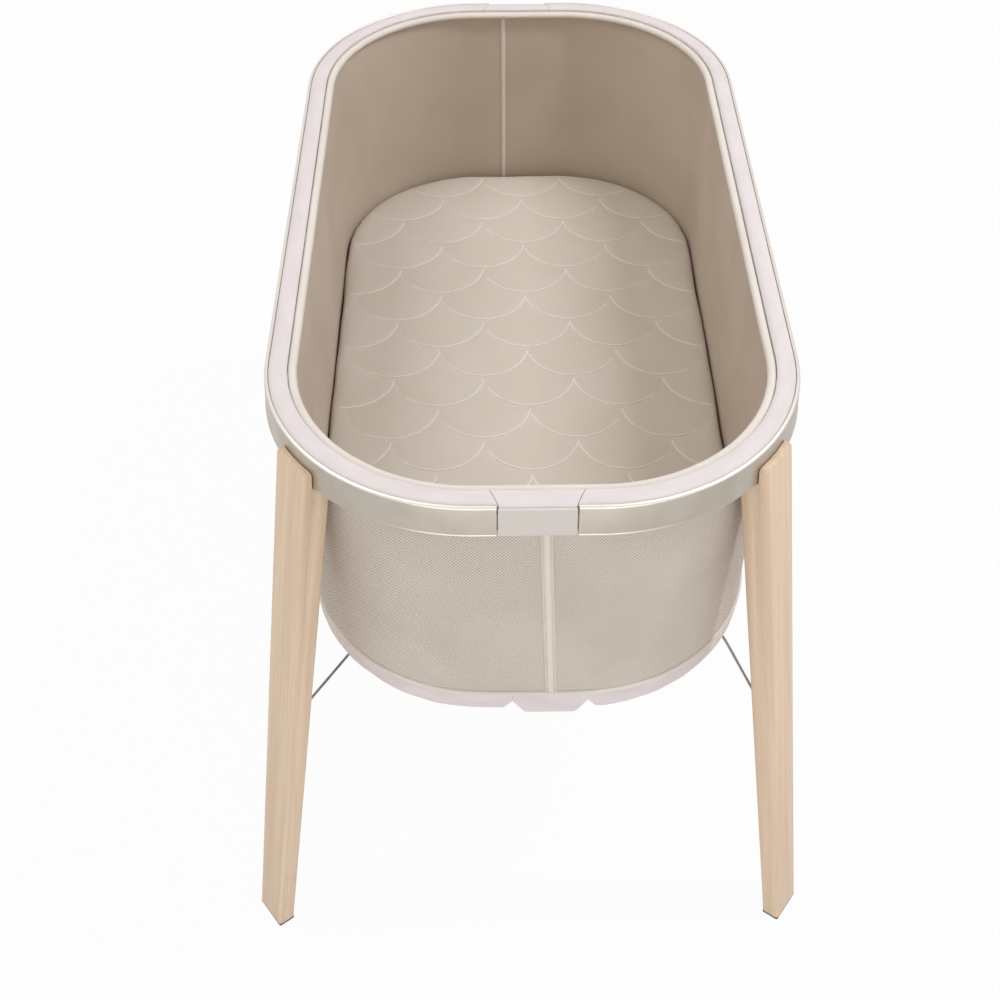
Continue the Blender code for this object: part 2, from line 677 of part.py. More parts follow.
def make_hem(name, side, parts):
    """Half of the hem; a V is left open between its ends and the tabs."""
    bm = half_loop(hem_section(), side, 0.0, 0.0)
    for end in (-1, 1):
        edge = side * (HEM_FLAP_HALF + GAP) - end * HEM_JOINT_X
        trim(bm, end, (edge, 0, 0), (-side, 0, 0))
        trim(bm, end, (edge, 0, BASKET_BOTTOM + HEM_NOTCH_HEIGHT), (-side, 0, -HEM_NOTCH_SLOPE))
    finish_piece(bm, name, "binding_fabric", parts)


def make_hem_flap(name, end, parts):
    bm = full_loop(hem_flap_section())
    middle = -end * HEM_JOINT_X
    keep_between(bm, middle - HEM_FLAP_HALF, middle + HEM_FLAP_HALF, end)
    for side in (-1, 1):
        notch = (middle + side * HEM_FLAP_HALF, 0, BASKET_BOTTOM + HEM_NOTCH_HEIGHT)
        trim(bm, end, notch, (side, 0, -HEM_NOTCH_SLOPE))
    finish_piece(bm, name, "binding_fabric", parts)


def make_floor(name, parts):
    """Fabric floor panel sewn into the hem."""
    edge = 0.0380 + GAP
    bm = full_loop([(edge, BASKET_BOTTOM), (edge, BASKET_BOTTOM + 0.0012)], closed=False)
    finish_piece(bm, name, "binding_fabric", parts)


def make_board(name, parts):
    ease = 0.0012
    bm = full_loop([(BOARD_INSET + ease, BOARD_BOTTOM), (BOARD_INSET, BOARD_BOTTOM + ease),
                    (BOARD_INSET, BOARD_TOP - ease), (BOARD_INSET + ease, BOARD_TOP)], closed=False)
    finish_piece(bm, name, "fibreboard", parts)


def mattress_profile(shrink):
    """Half section of the mattress from its underside to its crown, drawn in at the shoulders."""
    low = MATTRESS_BOTTOM + shrink
    edge = MATTRESS_INSET + shrink
    crown = MATTRESS_CROWN - shrink
    return [
        (edge + 0.0060, low), (edge + 0.0018, low + 0.0030), (edge + 0.0004, low + 0.0120),
        (edge, low + 0.0280), (edge + 0.0002, MATTRESS_SHOULDER - 0.0040),
        (edge + 0.0014, MATTRESS_SHOULDER + 0.0024 - shrink), (edge + 0.0042, crown - 0.0042),
        (edge + 0.0095, crown - 0.0022), (edge + 0.0300, crown - 0.0010), (edge + 0.0900, crown - 0.0003),
        (edge + 0.1350, crown),
    ]


def make_cover(name, parts):
    """Quilted cover drawn over the foam, open underneath inside a turned hem."""
    outer = mattress_profile(0.0)
    inner = mattress_profile(COVER_THICKNESS)
    hem = 0.0450
    turned = [(outer[0][0] + hem, outer[0][1])]
    lining = [(outer[0][0] + hem, outer[0][1] + COVER_THICKNESS)]
    bm = full_loop(inner[::-1] + lining + turned + outer, False, CUSHION_STEPS)
    finish_piece(bm, name, "quilted_knit", parts, 60)


def make_core(name, parts):
    profile = mattress_profile(COVER_THICKNESS + GAP)
    finish_piece(full_loop(profile, False, CUSHION_STEPS), name, "foam", parts, 60)


LEGS = {"foot_left": (-1, -1), "foot_right": (1, -1), "head_left": (-1, 1), "head_right": (1, 1)}
SIDES = {"left": -1, "right": 1}
ENDS = {"foot": -1, "head": 1}


def main():
    clear_scene()
    parts = new_collection("bassinet")
    cutters = new_collection("cutters")

    for side_name, side in SIDES.items():
        make_rim_half(f"rim_{side_name}", side, parts, cutters)
        make_ring_half(f"base_ring_{side_name}", side, parts)
        make_mesh_panels(side_name, side, parts)
        make_binding(f"top_binding_{side_name}", side, parts)
        make_hem(f"hem_{side_name}", side, parts)
    for end_name, end in ENDS.items():
        make_connector(f"rim_connector_{end_name}", end, parts, cutters)
        make_ring_sleeve(f"ring_sleeve_{end_name}", end, parts, cutters)
        make_seam_tape(f"seam_tape_{end_name}", end, parts)
        make_flap(f"binding_flap_{end_name}", end, parts)
        make_hem_flap(f"hem_flap_{end_name}", end, parts)
    for leg_name, (side_x, side_y) in LEGS.items():
        make_leg(f"leg_{leg_name}", side_x, side_y, parts, cutters)
        make_glide(f"glide_{leg_name}", side_x, side_y, parts, cutters)
        for letter, (seat, end) in zip("ab", bolt_points(side_x, side_y)):
            make_fastener(f"leg_bolt_{leg_name}_{letter}", seat, end, BOLT_RADIUS, BOLT_HEAD_RADIUS,
                          0.0022, parts)
    for leg_name, (seat, end) in zip(LEGS, screw_points()):
        make_fastener(f"rim_screw_{leg_name}", seat, end, SCREW_RADIUS, 0.0034, 0.0018, parts)
    make_rod("brace_rod_lower", lower_rod_points(), parts)
    make_rod("brace_rod_upper", upper_rod_points(), parts)

    top_piping = full_loop(tube_section(0.0235, RIM_TOP - PIPING_RADIUS, PIPING_RADIUS, 8))
    finish_piece(top_piping, "top_piping", "piping_fabric", parts, 60)
    hem_middle = BASKET_BOTTOM + HEM_HEIGHT + HEM_PIPING_RADIUS
    hem_piping = full_loop(tube_section(0.0246, hem_middle, HEM_PIPING_RADIUS))
    finish_piece(hem_piping, "hem_piping", "piping_fabric", parts, 60)

    make_floor("floor_panel", parts)
    make_board("base_board", parts)
    make_core("mattress_core", parts)
    make_cover("mattress_cover", parts)


main()
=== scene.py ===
import math

import bmesh
import bpy
from mathutils import Matrix, Vector, noise


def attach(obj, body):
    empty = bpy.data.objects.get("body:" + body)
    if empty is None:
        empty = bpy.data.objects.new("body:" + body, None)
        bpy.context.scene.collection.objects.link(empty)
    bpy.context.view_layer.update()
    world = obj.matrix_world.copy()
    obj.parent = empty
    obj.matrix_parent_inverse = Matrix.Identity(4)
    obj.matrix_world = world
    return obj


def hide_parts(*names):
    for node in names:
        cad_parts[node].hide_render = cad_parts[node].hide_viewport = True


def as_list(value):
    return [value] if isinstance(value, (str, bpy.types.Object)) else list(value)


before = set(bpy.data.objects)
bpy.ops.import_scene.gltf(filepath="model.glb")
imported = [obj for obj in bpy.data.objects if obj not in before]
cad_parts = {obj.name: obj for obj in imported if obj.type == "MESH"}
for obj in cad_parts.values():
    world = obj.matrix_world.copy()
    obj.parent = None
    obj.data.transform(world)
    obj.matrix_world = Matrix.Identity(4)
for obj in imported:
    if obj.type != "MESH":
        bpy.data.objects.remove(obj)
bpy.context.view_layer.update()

# Sizes shared with the solids, in metres. The origin is on the floor under the rim's middle.
HALF_LENGTH = 0.465
HALF_WIDTH = 0.260
RIM_RADIUS = 0.203
RIM_TOP = 0.730
BAND_FOOT = 0.6955
BAND_LEAN = 0.0022                       # the band's foot stands out this far from its top
SHELF = 0.724
CORNER_X = HALF_WIDTH - RIM_RADIUS
CORNER_Y = HALF_LENGTH - RIM_RADIUS
WALL_RADIUS = RIM_RADIUS - 0.0225        # the rim line's corner, measured at the basket wall
PLATE_GAP = 0.0364                       # each extrusion stops this far from the middle

LEG_ANGLE = math.radians(36.7)
LEG_STANDOFF = 0.0110
LEG_SPLAY = 0.1155
LEG_WIDTH = (0.0500, 0.0458)             # at the band's foot, and at the floor
LEG_DEPTH = (0.0310, 0.0214)
LIP_TOP = BAND_FOOT + 0.0180
LEG_FOOT = 0.0033

WALL_TOP = 0.7227
WALL_FOOT = 0.4381
WALL_HEIGHT = WALL_TOP - WALL_FOOT
WALL_INSET = 0.0236                      # of the wall's outer face at its foot
WALL_FLARE = 0.0016                      # the wall leans out by this much to its top
WALL_BOW = 0.0006                        # and bows in by this much half way up
WALL_THICKNESS = 0.0030
HEM_TOP = 0.433
HEM_FOOT = 0.406
HEM_SKIN = 0.0012
SEAM_X = {"foot": 0.0130, "head": -0.0170}
SEAM_LEAN = 0.0055                       # the foot end's seam strays this far at top and bottom
SEAM_GAP = 0.0003
STITCH_PITCH, STITCH_LENGTH = 0.0036, 0.0024
HEM_JOINT_X = 0.0180
HEM_TAB_HALF = 0.0390
NOTCH_TOP, NOTCH_SLOPE = HEM_FOOT + 0.0165, 0.70
BELLY = 0.0055                           # the basket's ends swell this far at the hem's middle
BELLY_HALF = 0.205
SEAT = SHELF + 0.0003                    # underside of the strip and its tabs
TAB_HALF = 0.0330
TAB_FLARE = 0.45

MATTRESS_INSET = 0.0284
MATTRESS_BOTTOM = 0.4166
MATTRESS_SHOULDER = 0.4765
MATTRESS_CROWN = 0.4865
COVER_FULLNESS = 0.0004                  # the cover's edge and crown are this much fuller
SWELL = {"level": 0.0012, "up": 0.005, "down": 0.002}      # most that the wadding moves the cover
SCALE_RADIUS = 0.0547                    # one scallop of the quilting
SCALE_X = (-0.0480, 0.0545)              # a column of scallops, and the step to the next
SCALE_Y = (0.3210, 0.2670)               # lowest points of the last scallop, even and odd columns
SCALE_STEP = 0.1096
SCALE_SPAN = math.radians(82)            # each scallop's line runs this far either way
THREAD_RADIUS = 0.0012

CORNER_STEPS = 40                        # facets round a corner of the rim line
STRAIGHT_PITCH = 0.020                   # length of a facet on its straights
MERGE = 0.00001                          # points closer than this are one

SIDES = {"left": -1, "right": 1}
ENDS = {"foot": -1, "head": 1}
LEGS = {"foot_left": (-1, -1), "foot_right": (1, -1), "head_left": (-1, 1), "head_right": (1, 1)}

CAMERA_PLACE = (-0.0415, -1.3345, 1.6368)
CAMERA_YAW, CAMERA_PITCH, CAMERA_ROLL = 0.0093, 0.8008, -0.0041
SENSOR, FOCAL = 36.0, 1.4339 * 36.0
DAYLIGHT, DAYLIGHT_STRENGTH = (1.0, 0.968, 0.932, 1.0), 0.57
FLOOR_SHADE, FLOOR_WHITENING = (0.80, 0.80, 0.80, 1.0), 0.95
LAMPS = {                                # place, target, size, watts, colour
    "key_right": ((1.66, -0.15, 3.05), (0.0, 0.0, 0.5), (0.18, 1.1), 37, (0.97, 0.995, 1.06)),
    "fill_left": ((-1.50, -0.15, 3.05), (0.0, 0.0, 0.5), (0.8, 1.4), 21, (1.0, 1.0, 1.0)),
    "front_low": ((0.0, -3.0, 0.45), (0.0, -0.4, 0.5), (3.0, 0.9), 23, (1.0, 1.0, 1.0)),
}


def held_to(value, low=0.0, high=1.0):
    return min(high, max(low, value))


# Finishes
class Tone:
    """A value on its way through a node tree; arithmetic on it adds Math nodes."""

    def __init__(self, nodes, socket):
        self.nodes, self.socket = nodes, socket

    def math(self, operation, *values):
        return self.nodes.node("ShaderNodeMath", {"operation": operation}, dict(enumerate(values)))

    def __add__(self, other):
        return self.math("ADD", self, other)

    def __sub__(self, other):
        return self.math("SUBTRACT", self, other)

    def __rsub__(self, other):
        return self.math("SUBTRACT", other, self)

    def __mul__(self, other):
        return self.math("MULTIPLY", self, other)

    def __gt__(self, other):
        return self.math("GREATER_THAN", self, other)

    __radd__ = __add__
    __rmul__ = __mul__

    def most(self, other):
        return self.math("MAXIMUM", self, other)

    def wave(self, pitch):
        """A sine that repeats whenever the value has grown by the pitch."""
        return self.math("SINE", self * (math.tau / pitch))

    def siblings(self, names):
        """Named outputs of the node that this value comes from."""
        return [Tone(self.nodes, self.socket.node.outputs[name]) for name in names]


class Nodes:
    """A node tree, and the one way in which nodes are added to it."""

    def __init__(self, tree):
        self.tree = tree

    def node(self, kind, settings=None, sockets=None, output=0):
        made = self.tree.nodes.new(kind)
        for name, value in (settings or {}).items():
            setattr(made, name, value)
        for key, value in (sockets or {}).items():
            self.feed(made.inputs[key], value)
        return Tone(self, made.outputs[output])

    def feed(self, socket, value):
        if isinstance(value, Tone):
            self.tree.links.new(value.socket, socket)
        else:
            socket.default_value = value


class Finish(Nodes):
    """A surface finish: one Principled shader and the nodes that vary it."""

    def __init__(self, name, **constants):
        self.material = bpy.data.materials.new(name)
        self.material.use_nodes = True
        super().__init__(self.material.node_tree)
        self.shader = self.tree.nodes["Principled BSDF"]
        for socket, value in constants.items():
            self.paint(socket.replace("_", " "), value)

    def paint(self, socket, value):
        self.feed(self.shader.inputs[socket], value)

    def stretched(self, vector, stretch):
        return self.node("ShaderNodeMapping", {}, {"Vector": vector, "Scale": stretch})

    def place(self, stretch=(1, 1, 1)):
        """The object's own coordinates, in metres, stretched."""
        return self.stretched(self.node("ShaderNodeTexCoord", output="Object"), stretch)

    def along_cloth(self, stretch=(1, 1, 1)):
        """Run round the rim line and distance over the cloth, both in metres, stretched."""
        return self.stretched(self.node("ShaderNodeUVMap", {"uv_map": "cloth"}), stretch)

    def parts_of(self, vector):
        return self.node("ShaderNodeSeparateXYZ", {}, {"Vector": vector}).siblings("XYZ")

    def cloudy(self, vector, scale, detail=2.0, roughness=0.5):
        return self.node("ShaderNodeTexNoise", {}, {"Vector": vector, "Scale": scale,
                                                    "Detail": detail, "Roughness": roughness})

    def ramp(self, factor, low, high):
        """0 below low and 1 above high, with a smooth slope between."""
        return self.node("ShaderNodeMapRange", {"interpolation_type": "SMOOTHSTEP"},
                         {"Value": factor, "From Min": low, "From Max": high})

    def blend(self, factor, first, second):
        return self.node("ShaderNodeMix", {"data_type": "RGBA"}, {0: factor, 6: first, 7: second}, 2)

    def mottle(self, cloud, low, high, first, second):
        """The first colour where the cloud is below low, the second where it is above high."""
        return self.blend(self.ramp(cloud, low, high), first, second)

    def relief(self, height, depth):
        self.paint("Normal", self.node("ShaderNodeBump", {}, {"Height": height, "Distance": depth,
                                                              "Strength": 1.0}))


def shade(red, green, blue):
    """A colour as it looks on a screen, 0 to 255, as the shader's linear colour."""
    def linear(value):
        value /= 255
        return value / 12.92 if value <= 0.04045 else ((value + 0.055) / 1.055) ** 2.4
    return (linear(red), linear(green), linear(blue), 1.0)


def oiled_beech():
    """Pale straight-grained beech: long soft streaks, short dark ray flecks, oiled."""
    finish = Finish("oiled_beech", Specular_IOR_Level=0.35)
    grain = finish.node("ShaderNodeAttribute", {"attribute_name": "grain"}, output="Vector")

    def grained(across, along, *character):
        return finish.cloudy(finish.stretched(grain, (across, across, along)), 1.0, *character)

    streaks = grained(150, 3.2, 3.0, 0.6)
    broad = grained(34, 1.3)
    fibres = grained(900, 14)
    flecks = finish.ramp(grained(1500, 260, 1.0), 0.64, 0.72)
    wood = finish.mottle(streaks, 0.34, 0.68, shade(228, 206, 181), shade(217, 190, 161))
    wood = finish.blend(finish.ramp(broad, 0.40, 0.75) * 0.55, wood, shade(212, 185, 157))
    wood = finish.blend(fibres * 0.12, wood, shade(196, 168, 138))
    wood = finish.blend(flecks * 0.38, wood, shade(170, 134, 100))
    finish.paint("Base Color", wood)
    finish.paint("Roughness", 0.42 + fibres * 0.14)
    finish.relief(fibres * 0.7 + streaks * 0.3 - flecks * 0.35, 0.00012)
    return finish.material


def satin_aluminium():
    """Champagne anodised extrusion: die lines round the rim, and a painted highlight along the lip."""
    finish = Finish("satin_aluminium", Metallic=1.0)
    lines = finish.cloudy(finish.along_cloth((6, 5200, 1)), 1.0)
    haze = finish.cloudy(finish.place(), 26, 3.0)
    _, _, height = finish.parts_of(finish.place())
    # Painted highlight: the lip's rounded top is painted lighter, standing in for light catching that
    # edge.
    lip = finish.ramp(height, RIM_TOP - 0.0025, RIM_TOP - 0.0012)
    metal = finish.mottle(haze, 0.35, 0.7, shade(188, 180, 169), shade(181, 172, 160))
    finish.paint("Base Color", finish.blend(lip, metal, shade(224, 217, 208)))
    finish.paint("Roughness", 0.29 + lines * 0.10 + haze * 0.05)
    finish.relief(lines, 0.000012)
    return finish.material


def moulded_plastic():
    """Pale connector plastic with a fine spark-eroded texture."""
    finish = Finish("moulded_plastic", Specular_IOR_Level=0.4)
    spark = finish.cloudy(finish.place(), 3600)
    flow = finish.cloudy(finish.place((1, 1, 3)), 40)
    finish.paint("Base Color", finish.blend(flow * 0.6, shade(216, 209, 203), shade(209, 202, 196)))
    finish.paint("Roughness", 0.46 + spark * 0.14)
    finish.relief(spark, 0.00004)
    return finish.material


def glide_plastic():
    """Dark nylon pad, scuffed where it slides over the floor."""
    finish = Finish("glide_plastic")
    scuffs = finish.cloudy(finish.place((1, 1, 4)), 420, 4.0, 0.65)
    worn = finish.ramp(scuffs, 0.48, 0.66)
    finish.paint("Base Color", finish.blend(worn * 0.5, shade(88, 83, 79), shade(122, 117, 112)))
    finish.paint("Roughness", 0.48 + worn * 0.25)
    finish.relief(scuffs, 0.00008)
    return finish.material


def zinc_plate():
    """Zinc-plated steel wire and fasteners, slightly cloudy and finely pitted."""
    finish = Finish("zinc_plate", Metallic=1.0)
    cloud = finish.cloudy(finish.place(), 90, 3.0)
    pits = finish.cloudy(finish.place(), 1900)
    metal = finish.mottle(cloud, 0.35, 0.65, shade(158, 155, 148), shade(140, 137, 131))
    finish.paint("Base Color", metal)
    finish.paint("Roughness", 0.30 + cloud * 0.18)
    finish.relief(pits, 0.00002)
    return finish.material


def air_mesh():
    """Spacer knit: small holes in diagonal rows outside, a closed fine knit inside."""
    finish = Finish("air_mesh", Specular_IOR_Level=0.22, Sheen_Weight=0.08)
    u, v, _ = finish.parts_of(finish.along_cloth())
    hole_pitch, rib_pitch = 0.0036, 0.0021
    rising, falling = (u - v * 0.9).wave(hole_pitch), (u + v * 0.9).wave(hole_pitch)
    holes = finish.ramp(rising * 0.26 + falling * 0.24 + 0.5, 0.52, 0.92)
    ribs = u.wave(rib_pitch) * v.wave(rib_pitch / 1.15) * 0.5 + 0.5
    inside = v > (WALL_HEIGHT + 0.0016)
    outside = 1.0 - inside
    drift = finish.cloudy(finish.place(), 9, 3.0)
    fuzz = finish.cloudy(finish.place(), 1500)
    yarn = finish.mottle(drift, 0.3, 0.7, shade(215, 205, 195), shade(208, 197, 187))
    # Painted shade: the holes are painted darker, standing in for the shade inside them.
    outer = finish.blend(holes * 0.60, yarn, shade(160, 147, 135))
    # Painted shade: the lining is painted darker and warmer than the outside yarn, standing in for the
    # shade inside the basket.
    shaded_lining = finish.mottle(drift, 0.3, 0.7, shade(207, 193, 177), shade(199, 184, 168))
    inner = finish.blend(ribs * 0.16 + fuzz * 0.10, shaded_lining, shade(168, 150, 132))
    finish.paint("Base Color", finish.blend(inside, outer, inner))
    finish.paint("Roughness", 0.84 + fuzz * 0.12)
    finish.relief(outside * (1.0 - holes) * 0.8 + inside * (1.0 - ribs) * 0.25 + fuzz * 0.15, 0.0005)
    return finish.material


def rolled_mesh():
    """The same knit turned over an edge or a cord: fine rows across the roll."""
    finish = Finish("rolled_mesh", Roughness=0.86, Specular_IOR_Level=0.22, Sheen_Weight=0.10)
    u, v, _ = finish.parts_of(finish.along_cloth())
    row_pitch = 0.0026
    rows = (u + v).wave(row_pitch) * 0.30 + (u - v).wave(row_pitch) * 0.20 + 0.5
    drift = finish.cloudy(finish.place(), 14, 3.0)
    yarn = finish.mottle(drift, 0.3, 0.7, shade(231, 224, 215), shade(225, 217, 208))
    shadow = finish.ramp(rows, 0.5, 1.0) * 0.30
    finish.paint("Base Color", finish.blend(shadow, yarn, shade(188, 177, 165)))
    finish.relief(1.0 - rows, 0.00022)
    return finish.material


def woven_binding(name, light, dark):
    """Smooth plain-woven fabric with a slight lavender cast."""
    finish = Finish(name, Specular_IOR_Level=0.28, Sheen_Weight=0.15)
    u, v, _ = finish.parts_of(finish.along_cloth())
    thread_pitch = 0.00085
    weave = u.wave(thread_pitch) * v.wave(thread_pitch) * 0.5 + 0.5
    rubbed = finish.cloudy(finish.along_cloth((22, 60, 1)), 1.0, 3.0)
    threads = finish.cloudy(finish.along_cloth((2400, 500, 1)), 1.0)
    cloth = finish.mottle(rubbed, 0.32, 0.70, light, dark)
    finish.paint("Base Color", finish.blend(weave * 0.07 + threads * 0.05, cloth, shade(176, 162, 164)))
    finish.paint("Roughness", 0.72 + threads * 0.12)
    finish.relief(weave * 0.6 + threads * 0.4, 0.00006)
    return finish.material


def floor_weave():
    """Woven underside of the basket: object coordinates, as the cloth is flat."""
    finish = Finish("floor_weave", Roughness=0.82, Specular_IOR_Level=0.25)
    x, y, _ = finish.parts_of(finish.place())
    thread_pitch = 0.0011
    weave = x.wave(thread_pitch) * y.wave(thread_pitch) * 0.5 + 0.5
    soiled = finish.cloudy(finish.place(), 12, 4.0)
    cloth = finish.mottle(soiled, 0.3, 0.7, shade(212, 201, 200), shade(203, 191, 190))
    finish.paint("Base Color", finish.blend(weave * 0.10, cloth, shade(165, 152, 150)))
    finish.relief(weave, 0.00008)
    return finish.material


def quilted_knit():
    """Fine double knit over wadding: rows across the mattress, a little pilled."""
    finish = Finish("quilted_knit", Specular_IOR_Level=0.2, Sheen_Weight=0.12)
    x, y, z = finish.parts_of(finish.place())
    row_pitch = 0.0023
    weaving = x.wave(2 * row_pitch) * (0.9 * row_pitch / math.tau)
    rows = (y + weaving).wave(row_pitch) * 0.5 + 0.5
    wales = (x + z).wave(row_pitch) * 0.5 + 0.5
    pilling = finish.cloudy(finish.place(), 620, 3.0, 0.6)
    drift = finish.cloudy(finish.place(), 7, 3.0)
    knit = finish.mottle(drift, 0.3, 0.7, shade(218, 209, 198), shade(212, 203, 191))
    knit = finish.blend(rows * wales * 0.22 + pilling * 0.14, knit, shade(176, 163, 148))
    finish.paint("Base Color", knit)
    finish.paint("Roughness", 0.86 + pilling * 0.10)
    finish.relief(rows * 0.35 + wales * 0.25 + pilling * 0.5, 0.00020)
    return finish.material


def quilting_thread():
    """Raised, slightly lighter line of the quilting, with the twist of its thread; the lighter colour is
    partly the thread's own and partly a painted highlight.
    """
    finish = Finish("quilting_thread", Roughness=0.7, Specular_IOR_Level=0.3, Sheen_Weight=0.1)
    x, y, _ = finish.parts_of(finish.place())
    twist = (x + y).wave(0.0016) * 0.5 + 0.5
    fuzz = finish.cloudy(finish.place(), 900)
    # Partly painted highlight: the thread is painted lighter than the knit, partly its own colour and
    # partly to offset the shade on the ridge's flank.
    thread = finish.blend(twist * 0.2 + fuzz * 0.15, shade(241, 234, 224), shade(214, 205, 192))
    finish.paint("Base Color", thread)
    finish.relief(twist, 0.00012)
    return finish.material


def pressed_fibreboard():
    """Brown hardboard: matted fibres with a faint screen pattern."""
    finish = Finish("pressed_fibreboard")
    x, y, _ = finish.parts_of(finish.place())
    screen_pitch = 0.0016
    screen = x.wave(screen_pitch) * y.wave(screen_pitch) * 0.5 + 0.5
    fibres = finish.cloudy(finish.place((1, 3, 1)), 240, 5.0, 0.7)
    board = finish.mottle(fibres, 0.35, 0.7, shade(170, 138, 104), shade(140, 109, 80))
    finish.paint("Base Color", finish.blend(screen * 0.12, board, shade(112, 86, 62)))
    finish.paint("Roughness", 0.58 + fibres * 0.2)
    finish.relief(fibres * 0.7 + screen * 0.3, 0.00015)
    return finish.material


# Shapes that follow the rim line
def edges_of(geometry):
    return [item for item in geometry if isinstance(item, bmesh.types.BMEdge)]


def carry(bm, edges, step, count):
    """Draw an open or closed section straight on, in count equal steps."""
    drawn = bmesh.ops.spin(bm, geom=edges, cent=(0, 0, 0), axis=(0, 0, 1), dvec=Vector(step) / count,
                           angle=0, steps=count, use_merge=False, use_duplicate=False)
    return edges_of(drawn["geom_last"])


def turn_corner(bm, edges, centre):
    turned = bmesh.ops.spin(bm, geom=edges, cent=centre, axis=(0, 0, 1), dvec=(0, 0, 0),
                            angle=math.pi / 2, steps=CORNER_STEPS, use_merge=False,
                            use_duplicate=False)
    return edges_of(turned["geom_last"])


def round_off(bm, geometry, radius, segments, affect="EDGES"):
    bmesh.ops.bevel(bm, geom=geometry, offset=radius, offset_type="OFFSET", segments=segments,
                    profile=0.5, affect=affect, material=-1)


def section_wire(section, closed, start_x, rounded):
    """The section as a wire at the foot end. rounded gives a radius for some of its corners."""
    bm = bmesh.new()
    verts = [bm.verts.new((start_x, -HALF_LENGTH + inset, height)) for inset, height in section]
    for pair in zip(verts, verts[1:]):
        bm.edges.new(pair)
    if closed:
        bm.edges.new((verts[-1], verts[0]))
    first = verts[0]
    for corner, radius in rounded.items():
        round_off(bm, [verts[corner]], radius, 4, "VERTICES")
    girth = bm.verts.layers.float.new("girth")
    if not first.is_valid:
        first = min(bm.verts, key=lambda vert: (vert.co.z, vert.co.y))
    measure_girth(girth, first, closed)
    return bm


def measure_girth(girth, spot, closed):
    """Write on each point of a wire how far round the section it lies, for the cloth's map."""
    came, length, walked = None, 0.0, set()
    while spot is not None:
        spot[girth] = length
        walked.add(spot)
        onward = [edge for edge in spot.link_edges if edge is not came
                  and edge.other_vert(spot) not in walked]
        if not onward:
            break
        came = onward[-1] if came is None and len(onward) > 1 and not closed else onward[0]
        length += came.calc_length()
        spot = came.other_vert(spot)


def follow_rim(bm, foot_reach, head_reach):
    """Draw a section along one long half of the rim line, from the foot end to the head end."""
    def steps(length):
        return max(1, round(length / STRAIGHT_PITCH))

    edges = carry(bm, bm.edges[:], (foot_reach, 0, 0), steps(foot_reach))
    edges = turn_corner(bm, edges, (CORNER_X, -CORNER_Y, 0))
    edges = carry(bm, edges, (0, 2 * CORNER_Y, 0), steps(2 * CORNER_Y))
    edges = turn_corner(bm, edges, (CORNER_X, CORNER_Y, 0))
    carry(bm, edges, (-head_reach, 0, 0), steps(head_reach))


def sweep(section, side=1, foot_x=0.0, head_x=0.0, rounded=None):
    """Sweep an (inset, height) section round one long half of the rim, and close its ends."""
    bm = section_wire(section, True, foot_x * side, rounded or {})
    follow_rim(bm, CORNER_X - foot_x * side, CORNER_X - head_x * side)
    bmesh.ops.holes_fill(bm, edges=bm.edges, sides=0)
    if side < 0:
        bmesh.ops.scale(bm, vec=(-1, 1, 1), verts=bm.verts)
    return bm


def ring(section, closed=True):
    """The section swept all the way round; an open section is capped inside."""
    bm = section_wire(section, closed, 0.0, {})
    follow_rim(bm, CORNER_X, CORNER_X)
    bmesh.ops.mirror(bm, geom=bm.verts[:] + bm.edges[:] + bm.faces[:], axis="X", merge_dist=MERGE)
    bmesh.ops.remove_doubles(bm, verts=bm.verts, dist=MERGE)
    if not closed:
        bmesh.ops.holes_fill(bm, edges=bm.edges, sides=0)
    return bm


def run_of(spot, side):
    """Distance round the rim line from the middle of the foot end, measured at the wall."""
    x, y = spot.x * side, spot.y
    quarter = WALL_RADIUS * math.pi / 2
    if x > CORNER_X and y < -CORNER_Y:
        return CORNER_X + WALL_RADIUS * math.atan2(x - CORNER_X, -CORNER_Y - y)
    if x > CORNER_X and y > CORNER_Y:
        return CORNER_X + quarter + 2 * CORNER_Y + WALL_RADIUS * math.atan2(y - CORNER_Y, x - CORNER_X)
    if y < -CORNER_Y:
        return x
    if y > CORNER_Y:
        return 2 * CORNER_X + 2 * quarter + 2 * CORNER_Y - x
    return CORNER_X + quarter + CORNER_Y + y


def outward_of(spot):
    """Level direction straight out of the rim line."""
    x = math.copysign(max(abs(spot.x) - CORNER_X, 0), spot.x)
    y = math.copysign(max(abs(spot.y) - CORNER_Y, 0), spot.y)
    return Vector((x, y, 0)).normalized() if x or y else Vector((0, 0, 0))


def lay_cloth(bm, side=0):
    """Give the faces a map: run round the rim line, and distance over the section."""
    girth = bm.verts.layers.float.get("girth")
    cloth = bm.loops.layers.uv.new("cloth")
    total = max(vert[girth] for vert in bm.verts) if girth else 0.0
    for face in bm.faces:
        way = side or (1 if face.calc_center_median().x > 0 else -1)
        spans = [loop.vert[girth] for loop in face.loops] if girth else [0.0]
        wraps = max(spans) - min(spans) > total * 0.6 and len(face.loops) == 4
        for loop in face.loops:
            height = loop.vert[girth] if girth else loop.vert.co.z
            if wraps and height < total * 0.4:
                height += total
            loop[cloth].uv = (way * run_of(loop.vert.co, way), height)


def at_end(face, end):
    return all(vert.co.y * end > CORNER_Y - 0.001 for vert in face.verts)


def trim(bm, end, point, normal):
    """Cut one end of a loop with a plane, drop what lies on the normal's side, close the cut."""
    faces = [face for face in bm.faces if at_end(face, end)]
    edges = list(dict.fromkeys(edge for face in faces for edge in face.edges))
    verts = list(dict.fromkeys(vert for face in faces for vert in face.verts))
    bmesh.ops.bisect_plane(bm, geom=verts + edges + faces, clear_outer=True, plane_co=point,
                           plane_no=Vector(normal).normalized())
    bmesh.ops.holes_fill(bm, edges=bm.edges, sides=0)


def keep_between(bm, low_x, high_x, end, flare=0.0):
    """Keep the stretch of a loop between two upright planes at one end."""
    rest = [face for face in bm.faces if not at_end(face, end)]
    bmesh.ops.delete(bm, geom=rest, context="FACES")
    for x, outward in ((low_x, -1), (high_x, 1)):
        trim(bm, end, (x, end * HALF_LENGTH, 0), (outward, flare * end, 0))


